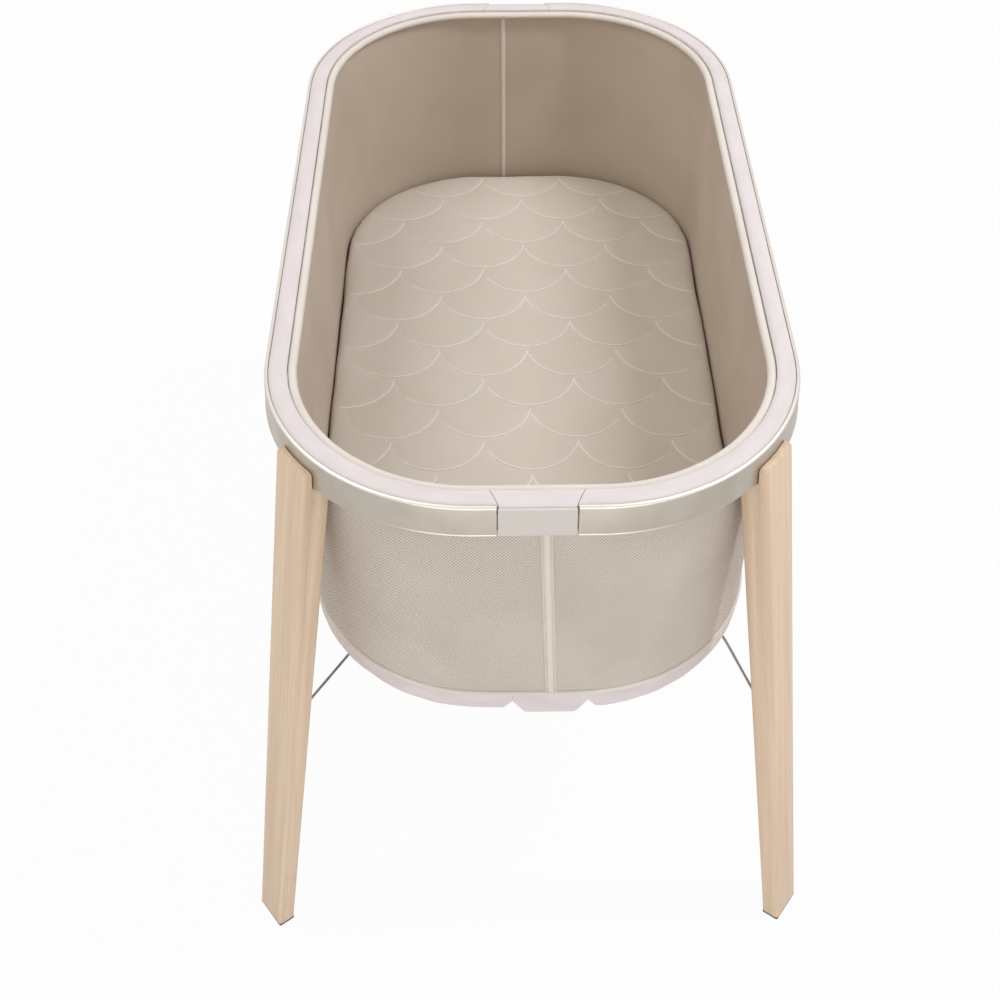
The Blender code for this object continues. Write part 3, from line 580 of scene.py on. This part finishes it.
def ripple(bm, amount, pitch, seed, low=-1.0, high=2.0):
    """Move cloth in and out by a smooth, fixed noise; nothing moves at heights low and high."""
    fade = 0.03
    for vert in bm.verts:
        side = 1 if vert.co.x > 0 else -1
        share = min(1.0, max(0.0, (vert.co.z - low) / fade), max(0.0, (high - vert.co.z) / fade))
        spot = Vector((side * run_of(vert.co, side) / pitch, vert.co.z / (pitch * 1.6), seed))
        vert.co += outward_of(vert.co) * (amount * share * noise.noise(spot))


def clean(bm):
    bmesh.ops.remove_doubles(bm, verts=bm.verts, dist=MERGE)
    bmesh.ops.recalc_face_normals(bm, faces=bm.faces)


def object_from(bm, name):
    mesh = bpy.data.meshes.new(name)
    bm.to_mesh(mesh)
    bm.free()
    return bpy.data.objects.new(name, mesh)


def piece_from(bm, name, finish, body, nodes=(), smooth=32.0, side=0, cloth=True):
    """Make a piece that rides on a body and stands for the CAD nodes it is named with."""
    clean(bm)
    if cloth:
        lay_cloth(bm, side)
    return settle(object_from(bm, name), finish, body, nodes, smooth)


def shade_smooth(piece, smooth):
    """Smooth shading that breaks where faces meet at more than the given degrees."""
    piece.data.shade_smooth()
    piece.data.set_sharp_from_angle(angle=math.radians(smooth))


def settle(piece, finish, body, nodes=(), smooth=32.0):
    shade_smooth(piece, smooth)
    piece.data.materials.clear()
    piece.data.materials.append(finish)
    if not piece.users_collection:
        bpy.context.scene.collection.objects.link(piece)
    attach(piece, body)
    if nodes:
        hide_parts(*nodes)
    return piece


def worked_mesh(piece):
    """The piece's mesh with its modifiers worked in."""
    depsgraph = bpy.context.evaluated_depsgraph_get()
    return bpy.data.meshes.new_from_object(piece.evaluated_get(depsgraph))


def work_in(piece):
    mesh = worked_mesh(piece)
    piece.modifiers.clear()
    piece.data = mesh


def soft_edges(piece, width, segments=2, angle=35.0):
    bevel = piece.modifiers.new("eased", "BEVEL")
    bevel.width = width
    bevel.segments = segments
    bevel.limit_method = "ANGLE"
    bevel.angle_limit = math.radians(angle)
    bevel.harden_normals = False


# Wood and metal
def leg_frame(side_x, side_y):
    """Matrix from the leg's own (out, across, up) to the whole object's, about its rim corner."""
    out = Vector((math.cos(LEG_ANGLE) * side_x, math.sin(LEG_ANGLE) * side_y, 0))
    across = Vector((-out.y, out.x, 0))
    matrix = Matrix((out, across, (0, 0, 1))).transposed().to_4x4()
    matrix.translation = (CORNER_X * side_x, CORNER_Y * side_y, 0)
    return matrix


def leg_size(pair, height):
    drop = (BAND_FOOT - height) / BAND_FOOT
    return pair[0] + (pair[1] - pair[0]) * drop


def leg_outer(height):
    return RIM_RADIUS + LEG_STANDOFF + LEG_SPLAY * (BAND_FOOT - height) / BAND_FOOT


def housing():
    """What the rim takes out of a leg: the groove for the band, the channel and the shoulder."""
    groove, clear, shoulder = BAND_FOOT - 0.0024, LIP_TOP + 0.03, 0.6997
    section = [
        (0.0009, clear), (-0.0009 - BAND_LEAN, BAND_FOOT), (-0.0024, groove + 0.0006),
        (-0.0014, groove), (0.0030, groove), (0.0040, BAND_FOOT), (0.0048, BAND_FOOT + 0.003),
        (0.0048, LIP_TOP - 0.004), (0.0152, LIP_TOP - 0.004), (0.0152, shoulder),
        (0.0600, shoulder), (0.0600, clear),
    ]
    cutter = ring(section)
    clean(cutter)
    return cutter


def carve_leg(name, side_x, side_y, cutter, finish):
    """Splayed, tapered leg: its long arrises and the top of its lip are rounded over."""
    bm = bmesh.new()
    blank = bmesh.ops.create_cube(bm, size=1.0)
    for vert in blank["verts"]:
        height = LIP_TOP if vert.co.z > 0 else LEG_FOOT
        out = leg_outer(height) - (0 if vert.co.x > 0 else leg_size(LEG_DEPTH, height))
        vert.co = (out, math.copysign(leg_size(LEG_WIDTH, height) / 2, vert.co.y), height)
    near = 0.0001
    arrises = [edge for edge in bm.edges if max(vert.co.z for vert in edge.verts) > LIP_TOP - near]
    round_off(bm, arrises, 0.0040, 6)
    heel = [edge for edge in bm.edges if all(vert.co.z < LEG_FOOT + near for vert in edge.verts)]
    round_off(bm, heel, 0.0008, 2)
    bmesh.ops.transform(bm, matrix=leg_frame(side_x, side_y), verts=bm.verts)
    leg = piece_from(bm, f"post_{name}", finish, "frame", (f"leg_{name}",), cloth=False)
    cut = leg.modifiers.new("housing", "BOOLEAN")
    cut.operation, cut.solver, cut.object = "DIFFERENCE", "EXACT", cutter
    soft_edges(leg, 0.0005)
    work_in(leg)
    shade_smooth(leg, 32)
    lay_grain(leg, side_x, side_y)


def lay_grain(leg, side_x, side_y):
    """Write on each point where it lies in its own leg, for grain that runs down the leg."""
    grain = leg.data.attributes.new("grain", "FLOAT_VECTOR", "POINT")
    back = leg_frame(side_x, side_y).inverted()
    seed = 0.7 * side_x + 1.9 * side_y
    for vert in leg.data.vertices:
        spot = back @ vert.co
        grain.data[vert.index].vector = (spot.x - leg_outer(spot.z), spot.y + seed, spot.z + seed)


def make_legs(finish):
    cutter = object_from(housing(), "housing_cutter")
    bpy.context.scene.collection.objects.link(cutter)
    for name, (side_x, side_y) in LEGS.items():
        carve_leg(name, side_x, side_y, cutter, finish)
    bpy.data.objects.remove(cutter)


def make_rims(finish):
    """Extrusions of the two rim halves: band with a rounded lip that carries a painted highlight, shelf,
    inner leg.
    """
    foot, lean = BAND_FOOT, BAND_LEAN
    section = [
        (-lean - 0.0004, foot), (-lean - 0.0004, foot + 0.0009), (-lean + 0.0001, foot + 0.0019),
        (0.0, RIM_TOP), (0.0036, RIM_TOP), (0.0036, SHELF), (0.0175, SHELF), (0.0175, 0.7),
        (0.0155, 0.7), (0.0155, SHELF - 0.002), (0.0024, SHELF - 0.002),
        (0.0024 - lean, foot + 0.0022), (0.0044 - lean, foot + 0.0022), (0.0044 - lean, foot),
    ]
    rounded = {0: 0.0004, 1: 0.0004, 2: 0.0004, 3: 0.0027, 4: 0.0008, 6: 0.0006, 13: 0.0005}
    for side_name, side in SIDES.items():
        bm = sweep(section, side, side * PLATE_GAP, side * PLATE_GAP, rounded)
        rim = piece_from(bm, f"extrusion_{side_name}", finish, "frame",
                         (f"rim_{side_name}",), side=side)
        soft_edges(rim, 0.0003, 1, 50)


def merged_copy(node, name):
    bm = bmesh.new()
    bm.from_mesh(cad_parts[node].data)
    bmesh.ops.remove_doubles(bm, verts=bm.verts, dist=MERGE)
    bmesh.ops.dissolve_limit(bm, angle_limit=math.radians(1.0), verts=bm.verts, edges=bm.edges)
    return object_from(bm, name)


def make_connectors(finish):
    for end in ENDS:
        plate = merged_copy(f"rim_connector_{end}", f"plate_{end}")
        settle(plate, finish, "frame", (f"rim_connector_{end}",))
        soft_edges(plate, 0.0005, 2, 40)


def dress(prefixes, finish):
    """Put a finish on the CAD nodes that stay as they are."""
    for name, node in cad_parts.items():
        if name.startswith(prefixes):
            for slot in node.material_slots:
                slot.material = finish


# Basket
def seam_drift(height):
    return SEAM_LEAN * (1 - 2 * (height - WALL_FOOT) / WALL_HEIGHT)


def wall_inset(share):
    """Inset of the wall's outer face, at this share of its height."""
    return WALL_INSET - WALL_FLARE * share + WALL_BOW * math.sin(math.pi * held_to(share))


def wall_section():
    """Outer face upwards, then down the inner face behind it."""
    steps = 22
    outer = []
    for i in range(steps + 1):
        share = i / steps
        outer.append((wall_inset(share), WALL_FOOT + WALL_HEIGHT * share))
    return outer + [(inset + WALL_THICKNESS, height) for inset, height in outer[::-1]]


def fill_out(verts):
    """The basket's ends swell outwards a little, most at the middle of the hem."""
    for vert in verts:
        if abs(vert.co.y) > CORNER_Y and abs(vert.co.x) < BELLY_HALF:
            share = held_to((WALL_TOP - vert.co.z) / (WALL_TOP - HEM_TOP))
            rise = (1 - (vert.co.x / BELLY_HALF) ** 2) ** 2
            vert.co.y += math.copysign(BELLY * rise * share, vert.co.y)


def lean_seam(bm, seam_x):
    """Let the wall's edge at the foot end follow the seam."""
    for vert in bm.verts:
        if vert.co.y < -CORNER_Y and abs(vert.co.x - seam_x) < 0.001:
            vert.co.x += seam_drift(vert.co.z)


def make_walls(finish, thread):
    trims = {end: [make_seam_rib(end, thread), make_inner_seam(end, thread), make_stitches(end, thread)]
             for end in ENDS}
    for side_name, side in SIDES.items():
        foot_x, head_x = (SEAM_X[end] + side * SEAM_GAP for end in ENDS)
        bm = sweep(wall_section(), side, foot_x, head_x)
        ripple(bm, 0.0008, 0.085, 4.0 + side, WALL_FOOT, WALL_TOP)
        lean_seam(bm, foot_x)
        fill_out(bm.verts)
        wall = piece_from(bm, f"wall_{side_name}", finish, "frame",
                          [f"mesh_{part}_{side_name}" for part in ("foot", "side", "head")], side=side)
        end = "foot" if side > 0 else "head"
        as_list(trims[end])


def beside_seam(end, across, proud, height, inside=False):
    """A point beside the seam at one end, so far proud of the wall's outer or inner face."""
    inset = wall_inset((height - WALL_FOOT) / WALL_HEIGHT)
    inset += WALL_THICKNESS + proud if inside else -proud
    drift = seam_drift(height) if end == "foot" else 0.0
    return Vector((SEAM_X[end] + across + drift, ENDS[end] * (HALF_LENGTH - inset), height))


def seam_bar(end, section, low, high, steps, shift=0.0, inside=False):
    """A bar up the wall: its section is drawn as (distance from the seam, depth proud of the wall)."""
    bm = bmesh.new()
    verts = [bm.verts.new((across + shift, proud, low)) for across, proud in section]
    edges = [bm.edges.new(pair) for pair in zip(verts, verts[1:] + verts[:1])]
    carry(bm, edges, (0, 0, high - low), steps)
    bmesh.ops.holes_fill(bm, edges=bm.edges, sides=0)
    for vert in bm.verts:
        vert.co = beside_seam(end, *vert.co, inside)
    fill_out(bm.verts)
    return bm


def make_seam_rib(end, finish):
    """Taped seam down the outside: a flat middle between two sewn channels."""
    section = [(-0.0060, 0.0001), (-0.0058, 0.0013), (-0.0047, 0.0020), (-0.0036, 0.0001),
               (-0.0027, 0.0019), (-0.0012, 0.0025), (0.0012, 0.0025), (0.0027, 0.0019),
               (0.0036, 0.0001), (0.0047, 0.0020), (0.0058, 0.0013), (0.0060, 0.0001)]
    bm = seam_bar(end, section, WALL_FOOT, WALL_TOP, 40)
    return piece_from(bm, f"seam_rib_{end}", finish, "frame", (f"seam_tape_{end}",), 60)


def make_inner_seam(end, finish):
    """Slim folded seam on the inside of the basket."""
    section = [(-0.0027, -0.0004), (-0.0024, 0.0008), (-0.0013, 0.0015), (0.0008, 0.0016),
               (0.0022, 0.0010), (0.0027, -0.0004)]
    shift = 0.0 if end == "foot" else -0.001
    bm = seam_bar(end, section, WALL_FOOT + 0.001, WALL_TOP - 0.003, 30, shift, True)
    return piece_from(bm, f"inner_seam_{end}", finish, "frame", (), 60)


def sewn_line(name, lines, radius, finish, body):
    """Short threads: each is a curve of a few points whose ends dive into the cloth."""
    curve = bpy.data.curves.new(name, "CURVE")
    curve.dimensions = "3D"
    curve.bevel_depth = radius
    curve.bevel_resolution = 1
    curve.use_fill_caps = True
    for line in lines:
        spline = curve.splines.new("POLY")
        spline.points.add(len(line) - 1)
        for point, spot in zip(spline.points, line):
            point.co = (*spot, 1.0)
    drawn = bpy.data.objects.new(f"{name}_line", curve)
    bpy.context.scene.collection.objects.link(drawn)
    mesh = worked_mesh(drawn)
    bpy.data.objects.remove(drawn)
    mesh.name = name
    return settle(bpy.data.objects.new(name, mesh), finish, body, (), 60)


def make_stitches(end, finish):
    """Two rows of stitches in the rib's channels."""
    buried, proud = 0.0001, 0.0011
    lines = []
    for row in (-0.0036, 0.0036):
        height = WALL_FOOT + 0.004
        while height < WALL_TOP - 0.006:
            lines.append([beside_seam(end, row, lift, height + share * STITCH_LENGTH)
                          for share, lift in ((0, buried), (0.3, proud), (0.7, proud), (1, buried))])
            height += STITCH_PITCH
    stitches = sewn_line(f"seam_stitches_{end}", lines, 0.00042, finish, "frame")
    fill_out(stitches.data.vertices)
    return stitches


def round_section(inset, height, radius, sides, flat=1.0):
    """Circle, or with flat below 1 an oval, as a section."""
    turns = [math.tau * i / sides for i in range(sides)]
    return [(inset + radius * math.cos(turn), height + radius * flat * math.sin(turn)) for turn in turns]


def make_rolled_edges(finish):
    """The wall's cloth rolled over a cord at its top, and a slimmer one above the hem."""
    top = ring(round_section(0.0268, 0.7254, 0.0045, 20, 0.84))
    ripple(top, 0.0002, 0.02, 9.0)
    piece_from(top, "rolled_edge", finish, "frame", ("top_piping",), 80)
    low = ring(round_section(0.0246, 0.4345, 0.0032, 14))
    ripple(low, 0.0007, 0.03, 5.0)
    fill_out(low.verts)
    piece_from(low, "hem_roll", finish, "frame", ("hem_piping",), 80)


def make_strips(finish):
    """Padded strip on the rim's shelf, mitred beside the tab at each end."""
    top = RIM_TOP
    section = [
        (0.0039, SEAT), (0.0039, top - 0.0012), (0.0058, top + 0.0002), (0.0085, top + 0.0010),
        (0.0120, top + 0.0016), (0.0165, top + 0.0021), (0.0200, top + 0.0018),
        (0.0221, top + 0.0002), (0.0219, SEAT),
    ]
    for side_name, side in SIDES.items():
        bm = sweep(section, side, rounded={1: 0.0008})
        for vert in bm.verts:
            if vert.co.z > SEAT + 0.002:
                run = run_of(vert.co, side)
                vert.co.z += 0.00035 * noise.noise(Vector((run / 0.028, vert.co.z * 60, side)))
        for end in ENDS.values():
            mitre = (side * (TAB_HALF + 0.0006), end * HALF_LENGTH, 0)
            trim(bm, end, mitre, (-side, -TAB_FLARE * end, 0))
        strip = piece_from(bm, f"strip_{side_name}", finish, "frame",
                           (f"top_binding_{side_name}",), 50, side)
        soft_edges(strip, 0.0006, 3, 55)


def make_tabs(finish):
    """The strip's tab over each connector, its tail tucked behind the plate."""
    top = RIM_TOP
    section = [
        (0.0027, top - 0.0110), (0.0027, top - 0.0022), (0.0044, top - 0.0003),
        (0.0075, top + 0.0006), (0.0120, top + 0.0015), (0.0165, top + 0.0021),
        (0.0200, top + 0.0018), (0.0221, top + 0.0002), (0.0219, SEAT), (0.0042, SEAT),
        (0.0042, top - 0.0110),
    ]
    for end_name, end in ENDS.items():
        bm = ring(section)
        keep_between(bm, -TAB_HALF, TAB_HALF, end, TAB_FLARE)
        for vert in bm.verts:
            if vert.co.z > top - 0.004:
                vert.co.z += 0.0004 * noise.noise(Vector((vert.co.x / 0.017, vert.co.y / 0.01, end)))
        tab = piece_from(bm, f"tab_{end_name}", finish, "frame",
                         (f"binding_flap_{end_name}",), 50)
        soft_edges(tab, 0.0007, 3, 45)


def make_hem_bands(finish):
    """Hem round the basket's foot, turned in under it; a notch leaves room beside each tab."""
    top, low = HEM_TOP, HEM_FOOT
    section = [
        (0.0232, top - 0.0003), (0.0229, top - 0.0050), (0.0227, top - 0.0100),
        (0.0228, low + 0.0120), (0.0232, low + 0.0080), (0.0239, low + 0.0045),
        (0.0250, low + 0.0018), (0.0262, low + 0.0005), (0.0275, low), (0.0380, low),
        (0.0380, low + HEM_SKIN), (0.0281, low + HEM_SKIN), (0.0258, low + 0.0032),
        (0.0245, low + 0.0085), (0.0240, low + 0.0120), (0.0241, top - 0.0100),
        (0.0245, top - 0.0003),
    ]
    for side_name, side in SIDES.items():
        bm = sweep(section, side)
        ripple(bm, 0.0013, 0.019, 2.0 + side, HEM_FOOT - 0.03, HEM_TOP)
        for end in ENDS.values():
            edge = side * (HEM_TAB_HALF + 0.0003) - end * HEM_JOINT_X
            trim(bm, end, (edge, 0, 0), (-side, 0, 0))
            trim(bm, end, (edge, 0, NOTCH_TOP), (-side, 0, -NOTCH_SLOPE))
        fill_out(bm.verts)
        hem = piece_from(bm, f"hem_band_{side_name}", finish, "frame",
                         (f"hem_{side_name}",), 50, side)


def make_hem_tabs(finish):
    """Fuller tab that joins the hem's halves at each end and curls under the ring."""
    top, low = HEM_TOP, HEM_FOOT
    section = [
        (0.0232, top - 0.0003), (0.0226, top - 0.0060), (0.0221, top - 0.0120),
        (0.0217, low + 0.0070), (0.0216, low + 0.0030), (0.0219, low - 0.0008),
        (0.0227, low - 0.0034), (0.0240, low - 0.0047), (0.0260, low - 0.0048),
        (0.0280, low - 0.0038), (0.0300, low - 0.0026), (0.0340, low - 0.0010), (0.0380, low),
        (0.0380, low + HEM_SKIN), (0.0292, low - 0.0010), (0.0256, low - 0.0024),
        (0.0238, low - 0.0010), (0.0229, low + 0.0050), (0.0234, top - 0.0100),
        (0.0245, top - 0.0003),
    ]
    for end_name, end in ENDS.items():
        bm = ring(section)
        middle = -end * HEM_JOINT_X
        keep_between(bm, middle - HEM_TAB_HALF, middle + HEM_TAB_HALF, end)
        for side in SIDES.values():
            trim(bm, end, (middle + side * HEM_TAB_HALF, 0, NOTCH_TOP), (side, 0, -NOTCH_SLOPE))
        ripple(bm, 0.0008, 0.020, 12.0, HEM_FOOT - 0.03, HEM_TOP)
        fill_out(bm.verts)
        tab = piece_from(bm, f"hem_tab_{end_name}", finish, "frame",
                         (f"hem_flap_{end_name}",), 50)


def caps_of(bm):
    """The many-cornered faces that close an open ring above and below."""
    return [face for face in bm.faces if len(face.verts) > 8]


def make_floor_cloth(finish):
    """Fabric floor of the basket, drawn flat by the ring."""
    bm = ring([(0.0383, HEM_FOOT), (0.0383, HEM_FOOT + HEM_SKIN)], closed=False)
    bmesh.ops.inset_region(bm, faces=caps_of(bm), thickness=0.02, depth=0)
    bmesh.ops.triangulate(bm, faces=caps_of(bm))
    fill_out(bm.verts)
    piece = piece_from(bm, "floor_cloth", finish, "frame", ("floor_panel",), 40)


# Mattress
def scallop_centres():
    """Middle points of the quilting's scallops, row by row."""
    centres = []
    for column in range(-4, 6):
        x = SCALE_X[0] + column * SCALE_X[1]
        for row in range(-2, 9):
            y = SCALE_Y[column % 2] - row * SCALE_STEP
            centres.append(Vector((x, y + SCALE_RADIUS, 0)))
    return centres


def on_scallop(angle):
    """Point of a scallop's line from its middle, at an angle from its lowest point."""
    return Vector((SCALE_RADIUS * math.sin(angle), -SCALE_RADIUS * math.cos(angle), 0))


def arc_distance(spot, centre):
    """Distance in plan from a point to the line of one scallop."""
    across, down = spot.x - centre.x, centre.y - spot.y
    bearing = math.atan2(abs(across), down)
    if bearing <= SCALE_SPAN:
        return abs(math.hypot(across, down) - SCALE_RADIUS)
    tip = on_scallop(SCALE_SPAN)
    return math.hypot(abs(across) - tip.x, down + tip.y)


def quilt_distance(spot, centres):
    """Distance in plan to the nearest scallop's line; 1 m where none is near."""
    reach, behind, near = 0.075, 0.02, 1.0
    for centre in centres:
        if abs(centre.x - spot.x) < reach and -behind < centre.y - spot.y < reach:
            near = min(near, arc_distance(spot, centre))
    return near


def inset_of(spot):
    """How far inside the rim's outer face a point lies, in plan."""
    x, y = abs(spot.x) - CORNER_X, abs(spot.y) - CORNER_Y
    if x > 0 and y > 0:
        return RIM_RADIUS - math.hypot(x, y)
    return RIM_RADIUS - max(x, y)


def mattress_body():
    """Padded slab with upright sides and a round upper edge, rising slightly to its middle."""
    full = COVER_FULLNESS
    low, edge, crown = MATTRESS_BOTTOM - full * 0.2, MATTRESS_INSET - full, MATTRESS_CROWN + full
    profile = [
        (edge + 0.0060, low), (edge + 0.0018, low + 0.0030), (edge + 0.0004, low + 0.0120),
        (edge, low + 0.0280), (edge + 0.0002, MATTRESS_SHOULDER - 0.0040),
        (edge + 0.0014, MATTRESS_SHOULDER + 0.0024 + full), (edge + 0.0042, crown - 0.0042),
        (edge + 0.0095, crown - 0.0022), (edge + 0.0300, crown - 0.0010),
        (edge + 0.0900, crown - 0.0003), (edge + 0.1350, crown),
    ]
    return ring(profile, closed=False)


def hold_quilting(mattress, centres):
    """Group of the points that the stitches and the underside hold."""
    held = mattress.vertex_groups.new(name="held")
    for vert in mattress.data.vertices:
        if vert.co.z < MATTRESS_BOTTOM + 0.004:
            held.add([vert.index], 1.0, "REPLACE")
        elif vert.co.z > MATTRESS_SHOULDER and quilt_distance(vert.co, centres) < 0.004:
            held.add([vert.index], 0.85, "REPLACE")
    return held.name


def swell(mattress, centres):
    """Blow the cover up over its wadding: the quilted lines and the underside stay held."""
    cloth = mattress.modifiers.new("cover", "CLOTH")
    cloth.settings.vertex_group_mass = hold_quilting(mattress, centres)
    cloth.settings.quality = 5
    cloth.settings.mass = 0.35
    cloth.settings.tension_stiffness = cloth.settings.compression_stiffness = 18
    cloth.settings.shear_stiffness = 8
    cloth.settings.bending_stiffness = 0.6
    cloth.settings.use_pressure = True
    cloth.settings.uniform_pressure_force = 4.0
    cloth.settings.effector_weights.gravity = 0
    cloth.collision_settings.use_collision = False
    for number in range(1, 21):
        bpy.context.scene.frame_set(number)
    depsgraph = bpy.context.evaluated_depsgraph_get()
    blown = [vert.co.copy() for vert in mattress.evaluated_get(depsgraph).data.vertices]
    mattress.modifiers.clear()
    bpy.context.scene.frame_set(1)
    for vert, after in zip(mattress.data.vertices, blown):
        move = after - vert.co
        level = Vector((move.x, move.y, 0))
        if level.length > SWELL["level"]:
            level *= SWELL["level"] / level.length
        vert.co += level + Vector((0, 0, held_to(move.z, -SWELL["down"], SWELL["up"])))


def draw_in(mattress, centres):
    """Fine shape that the simulation is too coarse for: dips at the stitches, an uneven edge."""
    for vert in mattress.data.vertices:
        if vert.co.z > MATTRESS_SHOULDER:
            near = quilt_distance(vert.co, centres)
            share = held_to((inset_of(vert.co) - MATTRESS_INSET - 0.004) / 0.012)
            pillow, dip = 0.0006 * min(1.0, near / 0.018), 0.0004 * math.exp(-(near / 0.0035) ** 2)
            vert.co.z += share * (pillow - dip)
    for vert in mattress.data.vertices:
        side = 1 if vert.co.x > 0 else -1
        spot = Vector((side * run_of(vert.co, side) / 0.062, vert.co.z / 0.05, 3.0 + side))
        share = max(0.0, 1 - (inset_of(vert.co) - MATTRESS_INSET) / 0.022)
        vert.co += outward_of(vert.co) * (0.0016 * share * noise.noise(spot))


def make_mattress(finish, thread):
    centres = scallop_centres()
    mattress = piece_from(mattress_body(), "mattress", finish, "mattress",
                          ("mattress_cover", "mattress_core"), 60, cloth=False)
    remesh = mattress.modifiers.new("even", "REMESH")
    remesh.mode = "VOXEL"
    remesh.voxel_size = 0.0060
    work_in(mattress)
    swell(mattress, centres)
    finer = mattress.modifiers.new("finer", "SUBSURF")
    finer.levels = finer.render_levels = 1
    work_in(mattress)
    draw_in(mattress, centres)
    settle(mattress, finish, "mattress", (), 80)
    make_quilting(mattress, centres, thread)


def quilting_line(mattress, centre):
    """The points along one scallop on the cover, and None for those off the cover's top."""
    steps = 30
    above, down = 0.6, Vector((0, 0, -1))
    left_share = 0.60 + 2.3 * (centre.x - 0.0065)
    right_share = 0.42 - 3.2 * (centre.x - 0.115)
    for i in range(steps + 1):
        share = 2 * i / steps - 1
        spot = centre + on_scallop(SCALE_SPAN * share)
        hit, place, _, _ = mattress.ray_cast(Vector((spot.x, spot.y, above)), down)
        if inset_of(spot) > MATTRESS_INSET + 0.0055 and hit and place.z > MATTRESS_SHOULDER - 0.004:
            flat = held_to(max(-share - left_share, share - right_share) / 0.2)
            yield place - Vector((0, 0, 0.0002 + 0.0009 * flat))
        else:
            yield None


def make_quilting(mattress, centres, thread):
    """Raised line along each scallop, laid on the finished cover and flatter towards its ends."""
    shortest = 10
    lines = []
    for centre in centres:
        line = []
        for spot in [*quilting_line(mattress, centre), None]:
            if spot is not None:
                line.append(spot)
                continue
            if len(line) >= shortest:
                lines.append(line)
            line = []
    sewn_line("scallop_quilting", lines, THREAD_RADIUS, thread, "mattress")


# Studio
def aim_camera():
    ahead = Vector((math.sin(CAMERA_YAW) * math.cos(CAMERA_PITCH),
                    math.cos(CAMERA_YAW) * math.cos(CAMERA_PITCH), -math.sin(CAMERA_PITCH)))
    right = Vector((math.cos(CAMERA_YAW), -math.sin(CAMERA_YAW), 0))
    upward = right.cross(ahead)
    turned_right = math.cos(CAMERA_ROLL) * right + math.sin(CAMERA_ROLL) * upward
    turned_up = -math.sin(CAMERA_ROLL) * right + math.cos(CAMERA_ROLL) * upward
    lens = bpy.data.cameras.new("camera")
    lens.sensor_width = SENSOR
    lens.lens = FOCAL
    camera = bpy.data.objects.new("camera", lens)
    matrix = Matrix((turned_right, turned_up, -ahead)).transposed().to_4x4()
    matrix.translation = CAMERA_PLACE
    camera.matrix_world = matrix
    bpy.context.scene.collection.objects.link(camera)
    bpy.context.scene.camera = camera


def hang_lamp(name, place, target, size, power, colour):
    lamp = bpy.data.lights.new(name, "AREA")
    lamp.color = colour
    lamp.shape = "RECTANGLE"
    lamp.size, lamp.size_y = size
    lamp.energy = power
    holder = bpy.data.objects.new(name, lamp)
    holder.rotation_mode = "QUATERNION"
    holder.rotation_quaternion = (Vector(target) - Vector(place)).to_track_quat("-Z", "Y")
    holder.location = place
    bpy.context.scene.collection.objects.link(holder)


def show_white(nodes, share, lit, white, output):
    """Blend to plain white what the camera sees itself, in a mirror or through glass."""
    path = nodes.node("ShaderNodeLightPath")
    camera, mirror, glass = path.siblings(("Is Camera Ray", "Is Glossy Ray", "Is Transmission Ray"))
    seen = camera.most(mirror).most(glass) * share
    surface = nodes.node("ShaderNodeMixShader", {}, {0: seen, 1: lit, 2: white})
    nodes.feed(nodes.tree.nodes[output].inputs["Surface"], surface)


def light_world():
    world = bpy.data.worlds.new("studio")
    bpy.context.scene.world = world
    world.use_nodes = True
    nodes = Nodes(world.node_tree)
    light = nodes.tree.nodes["Background"]
    nodes.feed(light.inputs["Color"], DAYLIGHT)
    nodes.feed(light.inputs["Strength"], DAYLIGHT_STRENGTH)
    backdrop = nodes.node("ShaderNodeBackground", {}, {"Color": (1, 1, 1, 1), "Strength": 1.0})
    show_white(nodes, 1.0, Tone(nodes, light.outputs[0]), backdrop, "World Output")


def lay_floor():
    paint = Finish("studio_floor", Base_Color=FLOOR_SHADE, Roughness=0.9)
    lit = Tone(paint, paint.shader.outputs[0])
    show_white(paint, FLOOR_WHITENING, lit, paint.node("ShaderNodeEmission"), "Material Output")
    bm = bmesh.new()
    bmesh.ops.create_grid(bm, x_segments=1, y_segments=1, size=9.0)
    floor = object_from(bm, "studio_floor")
    floor.data.materials.append(paint.material)
    bpy.context.scene.collection.objects.link(floor)


def make_studio():
    """Plain white studio: pale floor that keeps the shadows, white all round, soft lamps."""
    light_world()
    lay_floor()
    for name, lamp in LAMPS.items():
        hang_lamp(name, *lamp)


beech = oiled_beech()
aluminium = satin_aluminium()
steel = zinc_plate()
mesh_knit = air_mesh()
rolled_knit = rolled_mesh()
strip_cloth = woven_binding("strip_cloth", shade(227, 219, 218), shade(221, 213, 212))
hem_cloth = woven_binding("hem_cloth", shade(226, 217, 217), shade(218, 208, 209))
knit_thread = quilting_thread()

make_legs(beech)
make_rims(aluminium)
make_connectors(moulded_plastic())
dress("glide_", glide_plastic())
dress(("brace_rod", "leg_bolt", "rim_screw", "base_ring", "ring_sleeve"), steel)
dress("base_board", pressed_fibreboard())
make_walls(mesh_knit, rolled_knit)
make_rolled_edges(rolled_knit)
make_strips(strip_cloth)
make_tabs(strip_cloth)
make_hem_bands(hem_cloth)
make_hem_tabs(hem_cloth)
make_floor_cloth(floor_weave())
make_mattress(quilted_knit(), knit_thread)
make_studio()
aim_camera()
bpy.context.scene.view_settings.view_transform = "Standard"
